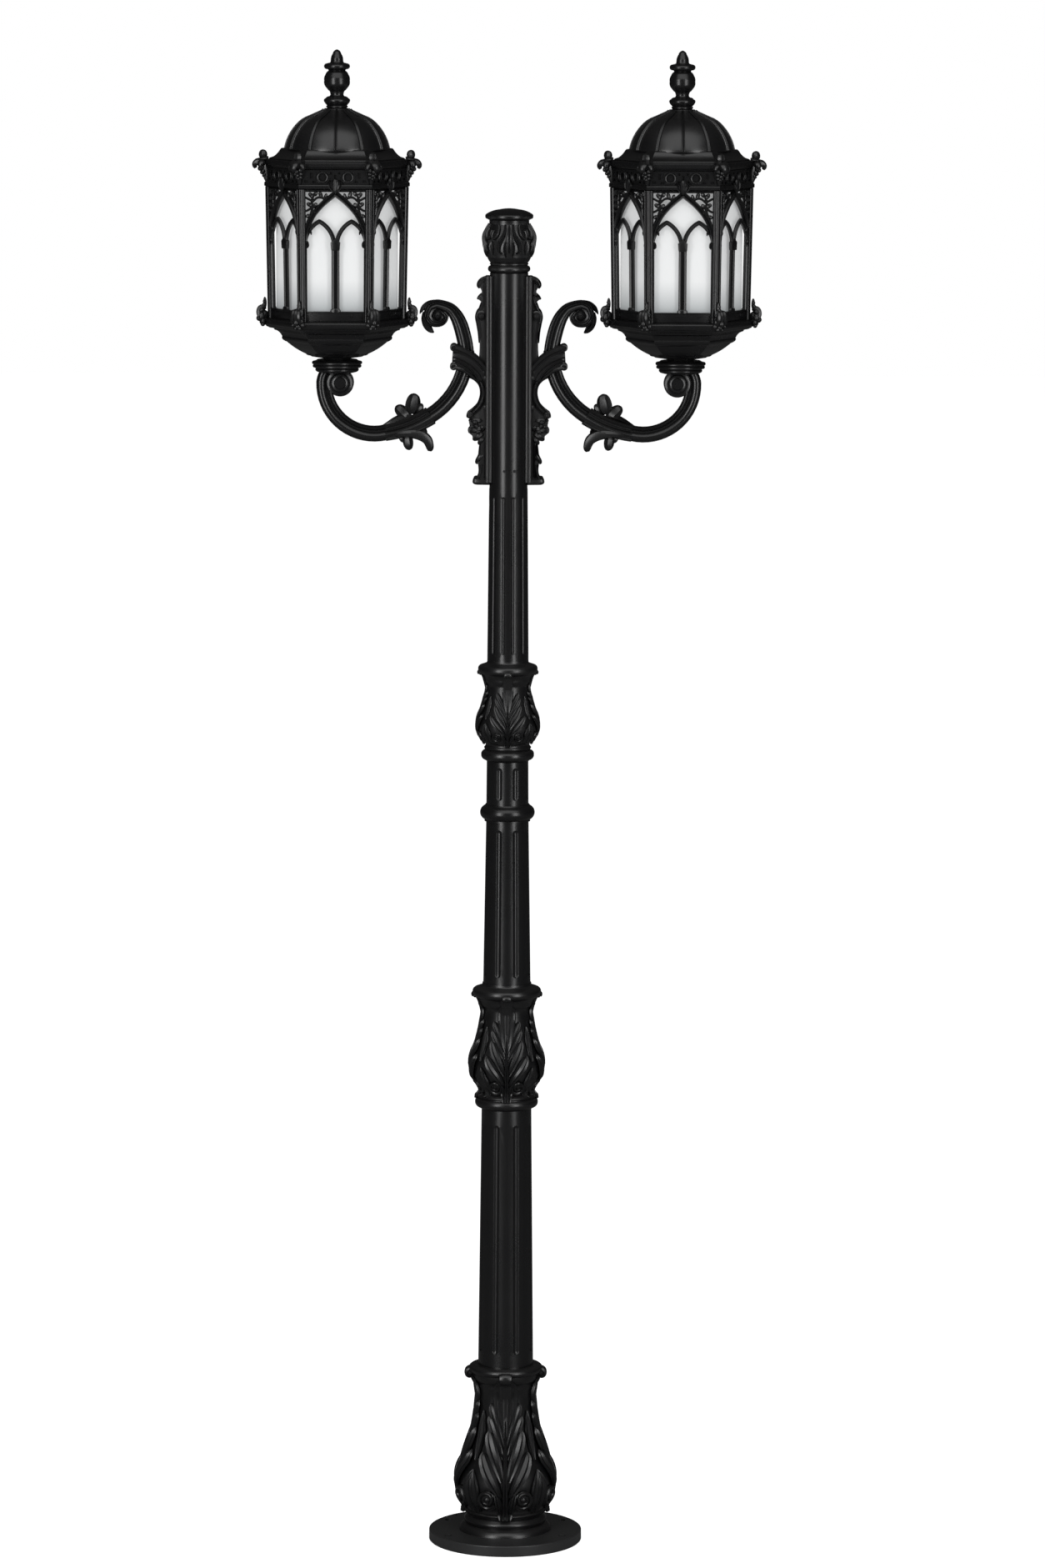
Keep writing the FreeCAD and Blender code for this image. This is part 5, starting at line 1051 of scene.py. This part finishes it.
def traceryPiece():
    values, foot, half = tracery, cageFoot, tracery["half"]
    spring = foot + values["spring"]
    bm = bmesh.new()
    for low, high, thick in values["rails"]:
        cutPlate(bm, [(-half, foot + low), (half, foot + low), (half, foot + high), (-half, foot + high)],
                 thick, values["railEdge"])
    cutPlate(bm, [(across, spring + up) for across, up in values["capital"]], values["capitalThick"],
             values["capitalEdge"])
    addForms(bm, [values["screw"], values["post"], values["postFoot"]], foot)
    right = addForms(bm, values["frame"] + [values["greatArch"]], foot)
    right += addForms(bm, values["cusps"], spring)
    right += lancetArc(bm, values["opening"], -1, spring) + lancetArc(bm, values["mullion"], 1, spring)
    stems = [[(across, up, half * values["stemFullness"], values["stemDepth"]) for across, up, half in stem]
             for stem in values["stems"]]
    right += addForms(bm, [("round", 4, stem) for stem in stems], foot)
    right += addForms(bm, [("bud", root, tip, half * values["leafFullness"], values["leafDepth"])
                           for root, tip, half in values["leaves"]], foot)
    mirrorParts(bm, right, (-1, 1, 1))
    slant = math.cos(math.pi / 6)
    lean = math.atan((cage["headRadius"] - cage["footRadius"]) * slant / (cageHead - cageFoot))
    turnAbout(bm, bm.verts, lean, (0, 0, foot), "X")
    bmesh.ops.translate(bm, verts=bm.verts, vec=(0, cage["inset"] - cage["footRadius"] * slant, 0))
    makeSixfold(bm, "Tracery", "tracery", "blackPaint", values["sharp"])


# Crockets stand at the corners. Heights are over the cornice's head or the sill's foot. The side hook turns
# about a pivot, and all that is listed for one side is mirrored to the other.
eaveCrocket = {
    "middle": [("bud", (146, 1), (146, 19), 8.8, 8.8),
               ("round", 3, [(145, -3, 9, 9), (145.5, -0.8, 13.5, 13.5), (145.5, 1.8, 14.2, 14.2),
                             (146, 4.4, 8.5, 8.5)]),
               ("strip", 4, [(137, -9, 5, 9), (147, -5.5, 8.2, 11), (156, -4.8, 8.0, 10.5),
                             (161.4, -8.6, 6.6, 9), (162, -13.6, 5.4, 7), (160, -17.6, 3, 4)]),
               ("vein", 4, [(143, -3, 9, 10), (142.5, -12, 10.5, 10.5), (140.5, -22, 9.4, 9.2),
                            (139.3, -31, 7.4, 7.2), (138.6, -39, 5, 5), (138.2, -44, 3, 3)]),
               ("ball", (151.4, 0, -18.5), 5.0), ("ball", (147.6, 0, -26), 4.2),
               ("ball", (144.6, 0, -32.5), 3.2)],
    "sideHook": [("strip", 3, [(140, -10, 5, 7), (150, -6.5, 6.4, 8), (157, -6.6, 6, 7), (160, -11, 5, 5.6),
                               (159, -15.5, 2.6, 3)])],
    "side": [("ball", (148, 7, -15.5), 5.6), ("ball", (144.6, 6, -23), 4.6),
             ("ball", (142.4, 4.4, -30), 3.8)],
    "pivot": 144, "turned": 66, "sharp": 40, "clearFrom": -0.6, "clearOut": 134.9,
}
sillCrocket = {
    "middle": [("ball", (145.5, 0, 26), 11), ("ball", (153.5, 0, 20), 6.2), ("ball", (147, 0, 13), 6.4),
               ("strip", 4, [(140, 17, 6, 9), (147, 21, 7, 12), (152, 30, 7.4, 13), (151, 38.5, 7, 12),
                             (145.5, 41, 5.6, 9), (142, 37, 3, 5)]),
               ("bud", (142.5, 40), (142.8, 62), 3.8, 3.8), ("ball", (144, 0, 46), 4.4),
               ("ball", (143.6, 0, 53), 3.4)],
    "sideHook": [("strip", 3, [(144, 25, 4.6, 6), (151, 29, 5.2, 6), (156, 26.5, 4.4, 5),
                               (157, 21.5, 1.6, 2)])],
    "side": [("ball", (148.5, 8.5, 23.5), 6.6), ("ball", (153, 6.5, 30), 5.2), ("ball", (149, 9, 36), 5.0),
             ("ball", (146, 10.5, 15), 5.2), ("ball", (146.5, 4.5, 8.5), 4.6)],
    "pivot": 144, "turned": 58, "sharp": 40,
}


def crocketMesh(values, base):
    bm = bmesh.new()
    addForms(bm, values["middle"], base)
    side = addForms(bm, values["sideHook"], base)
    turnAbout(bm, side, math.radians(values["turned"]), (values["pivot"], 0, 0))
    side += addForms(bm, values["side"], base)
    mirrorParts(bm, side, (1, -1, 1))
    return bm


def eaveCrocketsPiece():
    eave = level("right_cornice", True)
    bm = crocketMesh(eaveCrocket, eave)
    # clear of the roof, which lifts off past them
    for vert in bm.verts:
        if vert.co.z > eave + eaveCrocket["clearFrom"]:
            vert.co.x = max(vert.co.x, eaveCrocket["clearOut"])
    makeSixfold(bm, "EaveCrockets", "eave_crockets", "leafPaint", eaveCrocket["sharp"])


def sillCrocketsPiece():
    bm = crocketMesh(sillCrocket, level("right_sill"))
    makeSixfold(bm, "SillCrockets", "sill_crockets", "leafPaint", sillCrocket["sharp"])


# Arms. Their places are (out from the post's axis, over the ground).

# Raised lines along the front and the back, of (half width, half depth, distance from the middle)
def addLines(bm, values):
    halfWidth, halfDepth, depth = values["lineSize"]
    for line in values["lines"]:
        for side in (-1, 1):
            stations = [(across, up, halfWidth, halfDepth, side * depth) for across, up in line]
            ribbon(bm, "round", stations, 4)


# The neck rises into a scroll round its eye, given as (bearing, radius, half width). The lower bow is swept
# along arcs and ends in the volute that carries the lantern.
arm = {
    "neck": [(83.7, 2388, 14.8), (84.3, 2408, 14.8), (86.8, 2424, 15.0), (90.4, 2440, 15.0),
             (96, 2459, 14.6), (104.5, 2477, 13.2), (117.5, 2491.5, 11.2)],
    "eye": (141.0, 2476.7),
    "spiral": [(86, 22.6, 9.4), (112, 22.8, 8.4), (135, 22.8, 7.6), (180, 21.6, 6.6), (225, 19.2, 5.9),
               (270, 16.8, 5.1), (315, 15.3, 4.6), (360, 14.3, 4.3), (450, 11.8, 3.6), (540, 9.4, 3.0),
               (630, 7.4, 2.4), (700, 6.2, 1.8)],
    "bearings": (0, 180, 700), "halfDepths": (14.0, 11.0, 15.0),
    "root": (83.7, 2407.7), "heading": -90, "section": (15.5, 14.0),
    "lower": [(152, 57.7, 1.0), (242, 25.3, 1.0), (99, 99, 1.0), (33, 62, 0.86), (26, 40, 0.80)],
    "eyeBoss": [(0, 17.5), (2.6, 17.2, 0.3), (4.2, 14.5), (5.0, 14.0, 0.2), (6.4, 12), (10, 9.5), (18, 8),
                (22, 7), (22, 0)],
    "volute": (333.324, 2344.178),
    "voluteBoss": [(0, 20.6), (10.4, 20.4, 0.05), (11.2, 19.2, 0.3), (12, 20.2, 0.1), (17.2, 19.0, 0.4),
                   (18.6, 15.5), (19.5, 14.5), (25.5, 13.4, 0.4), (27, 11.5), (27, 0)],
    # leaf tip at the scroll's end, and the lobe that hangs from it
    "leaves": [("leaf", 4, [(146, 2504, 5, 9), (158, 2501, 5.6, 9), (168, 2494, 5, 8), (173.5, 2486, 3, 5),
                            (176, 2480.5, 0.8, 1.5)]),
               ("leaf", 4, [(166, 2484, 4.5, 8), (167, 2471, 6.4, 9), (162.5, 2458, 7.4, 9),
                            (155.5, 2449, 6, 7.5), (150, 2444.5, 2.6, 4), (148.5, 2443, 0.8, 1)])],
    "seatFrom": 260, "sharp": 38,
}


def armPiece():
    values = arm
    bm = bmesh.new()
    stations = [(x, z, half, values["halfDepths"][0]) for x, z, half in values["neck"]]
    for bearing, radius, half in values["spiral"]:
        angle = math.radians(bearing)
        stations.append((values["eye"][0] - radius * math.cos(angle),
                         values["eye"][1] + radius * math.sin(angle),
                         half, float(np.interp(bearing, values["bearings"], values["halfDepths"]))))
    ribbon(bm, "arm", stations, 6)
    sweepSection(bm, sizedSection("arm", *values["section"]), values["root"], values["heading"],
                 values["lower"], 6)
    boss(bm, values["eye"], values["eyeBoss"], 32)
    boss(bm, values["volute"], values["voluteBoss"], 48)
    addForms(bm, values["leaves"])
    # flat seat for the saddle
    near = [vert for vert in bm.verts if vert.co.x > values["seatFrom"]]
    chosen = set(near)
    geometry = near + [item for item in bm.edges[:] + bm.faces[:] if set(item.verts) <= chosen]
    cut = bmesh.ops.bisect_plane(bm, geom=geometry, dist=weld, plane_co=saddleLow / metre, plane_no=zAxis,
                                 clear_outer=True)
    bmesh.ops.holes_fill(bm, edges=edgesOf(cut["geom_cut"]))
    faceOut(bm)
    makePair(bm, "Arm", "arm", "blackPaint", values["sharp"], 0)


# Collar that holds the arm, with two raised lines and with lips that roll round the bar's outer side
armCollar = {
    "bar": [("collar", 5, [(111.6, 2396.4, 24.5, 19.5), (104, 2395.6, 24, 21), (90, 2390.4, 22.4, 22),
                           (76, 2382.2, 20.6, 22), (64, 2372, 19, 21), (56, 2362, 17, 19.5),
                           (51, 2352, 14, 18)])],
    "lineSize": (2.2, 3.4, 16),
    "lines": [[(111, 2405.6), (100, 2405), (84, 2399), (70, 2390), (58, 2380), (50, 2370)],
              [(112, 2389), (103, 2388), (92, 2383.4), (80, 2375.6), (70, 2366), (62, 2355)]],
    "lips": [("boss", (108.6, 2415.0), [(0, 21.2), (3.0, 21, 0.25), (6.6, 18.6, 0.2), (7.6, 15.5), (7.6, 0)],
              24),
             ("boss", (109.0, 2377.4), [(0, 21.2), (3.0, 21, 0.25), (6.4, 18.6, 0.2), (7.4, 15.5), (7.4, 0)],
              24)],
    "sharp": 38,
}


def armCollarPiece():
    bm = bmesh.new()
    addForms(bm, armCollar["bar"])
    addLines(bm, armCollar)
    addForms(bm, armCollar["lips"])
    faceOut(bm)
    makePair(bm, "ArmCollar", "arm_collar", "blackPaint", armCollar["sharp"], 0)


# Clasp: a sheath with veins over the bar where the bow starts, buds above it, and a leaf that leaves its
# underside and curls down
leafClasp = {
    "section": (18.4, 16.6), "root": (154.478, 2279.22), "heading": -32.3,
    "sheath": [(242, 9, 0.985), (242, 14, 0.90)],
    "lineSize": (2.4, 4.0, 10.5),
    "lines": [[(159.3, 2286.6), (175.6, 2277.3), (191.6, 2269.2), (209, 2262.2), (227.5, 2256.6),
               (243, 2253)],
              [(154.5, 2279.2), (171, 2269.5), (187.8, 2261), (206, 2253.8), (225, 2248), (244, 2244.2)],
              [(149.7, 2271.4), (166.4, 2261.7), (184, 2252.8), (203, 2245.4), (222.5, 2239.4),
               (240, 2236)]],
    "leaves": [("bud", (194, 2283), (186, 2323), 15.6, 12), ("bud", (198, 2274), (223.5, 2298), 13.0, 10.8),
               ("bud", (182, 2282), (171.5, 2303), 7.5, 9),
               ("leaf", 4, [(192, 2279, 6, 12), (208, 2276.5, 7.5, 13), (224, 2270.5, 6.5, 12),
                            (238, 2264, 4, 9), (250, 2259, 1, 2)]),
               ("leaf", 4, [(188, 2260, 6, 15), (176, 2255, 7.4, 15), (168.4, 2248, 7.4, 14),
                            (166, 2240, 5, 10)])],
    "curl": [("strip", 5, [(240, 2241, 1.4, 15), (224, 2241.5, 5, 17), (206, 2242.8, 8.4, 18),
                           (188, 2242.4, 10.6, 18), (173, 2238.6, 11.4, 17), (162, 2230.6, 10.6, 15),
                           (157.4, 2220.5, 9.2, 12.5), (156.4, 2213.4, 7.6, 10), (157, 2208.8, 4.2, 6)]),
             ("bud", (200.5, 2241), (196.4, 2210.5), 10.8, 10), ("bud", (214, 2241), (207, 2226), 6.4, 9)],
    "sharp": 38,
}


def leafClaspPiece():
    values = leafClasp
    bm = bmesh.new()
    sweepSection(bm, sizedSection("channel", *values["section"]), values["root"], values["heading"],
                 values["sheath"], 3)
    addLines(bm, values)
    addForms(bm, values["leaves"] + values["curl"])
    faceOut(bm)
    makePair(bm, "LeafClasp", "leaf_clasp", "leafPaint", values["sharp"], 0)


# Bracket: a backing strip that follows the sleeve, with two grooves down its front, and a web with leaves
bracket = {
    "foot": 2142.2, "head": 2556.0, "stripRise": 6, "stripChord": 2.5, "sharp": 38,
    "strip": [(32.6, -20), (34, -21.5, 0.3), (37.5, -21.5), (39, -20), (40.5, -21.2, 0.3), (44, -21.2),
              (46, -19.5), (46, 19.5), (44, 21.2, 0.3), (40.5, 21.2), (39, 20), (37.5, 21.5, 0.3),
              (34, 21.5), (32.6, 20, -0.27)],
    "webThick": 20, "webEdge": 3.2, "webChord": 3,
    "web": [(37, 2144), (60, 2144, 0.3), (62, 2157), (54, 2167, -0.1), (54, 2180), (60, 2184), (63.5, 2187),
            (57, 2193, -0.1), (52.5, 2214, -0.1), (57, 2228), (66, 2233, 0.4), (72, 2240), (79, 2246, 0.5),
            (76.5, 2258), (78.5, 2266, 0.4), (72, 2274), (81, 2280, 0.5), (78, 2290, -0.1),
            (60, 2308, -0.25), (55.5, 2336), (58, 2352), (60, 2380), (58, 2410), (57.5, 2440), (59.5, 2449),
            (61.5, 2462, 0.15), (64, 2476, 0.25), (59, 2490), (53.5, 2502, -0.2), (62, 2510.5, 0.3),
            (57, 2517, -0.2), (54, 2526, -0.2), (60.5, 2535.5, 0.5), (60, 2543, 0.25), (51, 2553.5, 0.2),
            (42, 2556), (37, 2556)],
    "leaves": [("bud", (50, 2270), (79.5, 2270), 7.0, 17), ("bud", (48, 2257), (80, 2246.5), 7.6, 18),
               ("bud", (48, 2246), (71, 2231), 7.2, 17), ("bud", (47, 2238), (60, 2222), 6.0, 15),
               ("bud", (58, 2262), (70, 2254), 6.0, 20), ("bud", (44, 2264), (54, 2246), 5.5, 18),
               ("bud", (47, 2208), (65, 2184.5), 6.4, 15)],
    # from the collar down to the lip
    "scroll": [("channel", 5, [(84, 2362, 4.5, 17), (66, 2354, 5.2, 17), (54.5, 2341, 5.6, 17),
                               (51.5, 2322, 5.8, 17), (57.5, 2302, 5.6, 17), (71, 2287, 5.2, 17),
                               (79.5, 2281, 4, 16), (81, 2276, 2.5, 14)])],
    # berries as (place, radius), and their outline with its radii as shares
    "berries": [((77, 2281), 6.5), ((66, 2268), 5.5), ((73, 2259), 4.6), ((60, 2249), 5.0),
                ((52, 2258), 4.0)],
    "berryOutline": [(0, 19.5), (0.5, 18.8, 0.2), (1, 15.5, 0.1), (1, 0)], "berrySteps": 16,
    # the leaf above the collar rolls over at its head
    "upperLeaf": [("leaf", 5, [(55, 2424, 5, 15), (56.5, 2445, 5.6, 16), (59, 2462, 6, 16),
                               (61, 2476, 6.2, 16), (57, 2488, 5.5, 15), (49, 2488, 4, 13),
                               (47, 2479, 3, 11), (51.5, 2474, 2, 8)])],
    "roll": [("boss", (54.6, 2478), [(0, 18.5), (5.39, 18.1, 0.2), (9.8, 14.5, 0.1), (9.8, 0)], 24),
             ("boss", (54.6, 2478), [(0, 20.5), (2.75, 20.1, 0.2), (5.0, 16.5, 0.1), (5.0, 0)], 24)],
    # the lowest leaf has a hooked tip, over a rolled foot
    "lowest": [("leaf", 4, [(49, 2240, 3.5, 13), (51, 2226, 6.5, 17), (51.5, 2208, 8.4, 19),
                            (52, 2190, 9.0, 19), (51.5, 2172, 8.0, 18.5), (52.5, 2158, 8.6, 19)]),
               ("leaf", 4, [(50, 2216, 4, 15.5), (55, 2202, 5.4, 16.5), (60, 2191, 4.6, 15),
                            (64, 2184, 2.6, 9)]),
               ("round", 4, [(54, 2184, 2.0, 17), (55.5, 2172, 2.4, 18), (59, 2160, 3.0, 19),
                             (64, 2152, 3.0, 18)]),
               ("round", 4, [(70.6, 2152.4, 3.0, 10), (68.8, 2152, 7.4, 18), (63, 2151.4, 9.4, 20.5),
                             (50, 2150.6, 9.0, 21.5), (37.5, 2150, 8.6, 21)])],
    "headLeaves": [("leaf", 4, [(39, 2549.4, 5.6, 17), (48, 2549, 6.4, 18.5), (56, 2544, 6.0, 18.5),
                                (59.6, 2537, 4.6, 16), (58, 2531.6, 2.4, 9)]),
                   ("leaf", 4, [(49, 2545, 4, 15), (49.5, 2534, 5, 17), (48.5, 2521, 5.2, 17),
                                (49, 2508, 5.2, 17), (53, 2496, 5.6, 17), (58, 2486, 4, 15)]),
                   ("leaf", 4, [(46, 2521, 4, 16), (52, 2518.6, 4.8, 18), (58, 2514.6, 3.8, 16),
                                (62.6, 2510, 1.8, 8)])],
}


def bracketPiece():
    values = bracket
    stripFoot = values["foot"] + values["stripRise"]
    bm = bmesh.new()
    planSolid(bm, values["strip"], values["stripChord"], (0, 0, stripFoot),
              (0, 0, values["head"] - stripFoot))
    cutPlate(bm, values["web"], values["webThick"], values["webEdge"], 3, values["webChord"])
    for group in ("leaves", "scroll", "upperLeaf", "lowest", "headLeaves"):
        addForms(bm, values[group])
    for place, radius in values["berries"]:
        outline = [(radius * share, *rest) for share, *rest in values["berryOutline"]]
        boss(bm, place, outline, values["berrySteps"])
    addForms(bm, values["roll"])
    # level foot
    bmesh.ops.bisect_plane(bm, geom=bm.verts[:] + bm.edges[:] + bm.faces[:], dist=weld,
                           plane_co=(0, 0, values["foot"]), plane_no=-zAxis, clear_outer=True)
    bmesh.ops.holes_fill(bm, edges=[edge for edge in bm.edges if edge.is_boundary])
    faceOut(bm)
    makePair(bm, "Bracket", "bracket", "leafPaint", values["sharp"], 0)


# Studio: pale floor, white surroundings, soft boxes in front. Lengths are metres, powers are watts.
studio = {
    "cameraPlace": (0.0235, -13.171, 3.3945), "cameraPitch": 8.0, "cameraRoll": -0.2, "focalPixels": 8000.0,
    "imageHeight": 1881, "sensor": 36.0, "aim": (0.0, 0.0, 1.6),
    "boxes": {"leftBox": {"place": (-3.6, -5.4, 2.4), "size": (1.8, 4.8), "power": 168.0},
              "rightBox": {"place": (3.7, -5.2, 2.4), "size": (1.8, 4.8), "power": 138.0},
              "topBox": {"place": (0.0, -5.2, 8.2), "size": (12.0, 7.0), "power": 360.0}},
    # strength of the surroundings as a light, and in reflections
    "worldLight": 0.45, "worldMirrored": 0.025,
    "floorSize": 60.0, "floorColour": (0.86, 0.86, 0.86), "floorMirrored": (0.11, 0.11, 0.11),
    "floorGlow": 0.64,
}


# The surroundings are white to the camera, dimmer as a light and dimmer still in reflections
def buildWorld(scene):
    world = bpy.data.worlds.new("studioWorld")
    scene.world = world
    world.use_nodes = True
    tree = world.node_tree
    background = tree.nodes["Background"]
    background.inputs["Color"].default_value = (1, 1, 1, 1)
    rays = tree.nodes.new("ShaderNodeLightPath")
    mirrored = addNode(tree, "ShaderNodeMapRange", Value=rays.outputs["Is Glossy Ray"],
                       To_Min=studio["worldLight"], To_Max=studio["worldMirrored"])
    strength = addNode(tree, "ShaderNodeMapRange", Value=rays.outputs["Is Camera Ray"],
                       To_Min=mirrored.outputs["Result"], To_Max=1.0)
    tree.links.new(strength.outputs["Result"], background.inputs["Strength"])


# The floor glows for the camera, and is dark in reflections
def floorPaper():
    material, tree, shader = newMaterial("floorPaper", Roughness=0.9, Specular_IOR_Level=0.1,
                                         Base_Color=withAlpha(studio["floorColour"]))
    rays = tree.nodes.new("ShaderNodeLightPath")
    glow = addNode(tree, "ShaderNodeEmission",
                   Strength=addMath(tree, "MULTIPLY", rays.outputs["Is Camera Ray"], studio["floorGlow"]))
    seen = tree.nodes.new("ShaderNodeAddShader")
    dim = addNode(tree, "ShaderNodeBsdfDiffuse", Color=withAlpha(studio["floorMirrored"]))
    choose = tree.nodes.new("ShaderNodeMixShader")
    for source, socket in ((shader.outputs["BSDF"], seen.inputs[0]),
                           (glow.outputs["Emission"], seen.inputs[1]),
                           (rays.outputs["Is Glossy Ray"], choose.inputs["Fac"]),
                           (seen.outputs["Shader"], choose.inputs[1]),
                           (dim.outputs["BSDF"], choose.inputs[2]),
                           (choose.outputs["Shader"], tree.nodes["Material Output"].inputs["Surface"])):
        tree.links.new(source, socket)
    return material


def buildFloor(scene):
    bm = bmesh.new()
    bmesh.ops.create_grid(bm, x_segments=1, y_segments=1, size=studio["floorSize"] / 2)
    mesh = bpy.data.meshes.new("studioFloor")
    bm.to_mesh(mesh)
    bm.free()
    mesh.materials.append(floorPaper())
    floor = bpy.data.objects.new("studioFloor", mesh)
    scene.collection.objects.link(floor)


def buildLights(scene):
    for name, box in studio["boxes"].items():
        lamp = bpy.data.lights.new(name, "AREA")
        lamp.shape = "RECTANGLE"
        lamp.size, lamp.size_y = box["size"]
        lamp.energy = box["power"]
        item = bpy.data.objects.new(name, lamp)
        item.location = box["place"]
        aim = Vector(studio["aim"]) - Vector(box["place"])
        item.rotation_euler = aim.to_track_quat("-Z", "Y").to_euler()
        item.visible_camera = False
        scene.collection.objects.link(item)


def buildCamera(scene):
    camera = bpy.data.cameras.new("photoCamera")
    camera.sensor_width = studio["sensor"]
    camera.lens = studio["focalPixels"] / studio["imageHeight"] * studio["sensor"]
    item = bpy.data.objects.new("photoCamera", camera)
    item.location = studio["cameraPlace"]
    item.rotation_euler = (math.radians(90 - studio["cameraPitch"]), math.radians(studio["cameraRoll"]), 0)
    scene.collection.objects.link(item)
    scene.camera = item


paintNodes()
for vaseName, vaseValues in vases.items():
    leafVase(vaseName, vaseValues)
turnedOnPost("middleRing", middleRing)
turnedOnPost("capLid", capLid)
print("castings of the post made")
turnedOnLanterns("Saddle", saddle)
turnedOnLanterns("Bowl", bowl)
turnedOnLanterns("Sill", sill)
cornicePiece()
roofPiece()
finialPiece()
diffuserPiece()
cornerPostsPiece()
traceryPiece()
eaveCrocketsPiece()
sillCrocketsPiece()
print("lanterns made")
armPiece()
armCollarPiece()
leafClaspPiece()
bracketPiece()
print("arms made")
bpy.context.scene.view_settings.view_transform = "Standard"
buildWorld(bpy.context.scene)
buildFloor(bpy.context.scene)
buildLights(bpy.context.scene)
buildCamera(bpy.context.scene)
print("studio made")
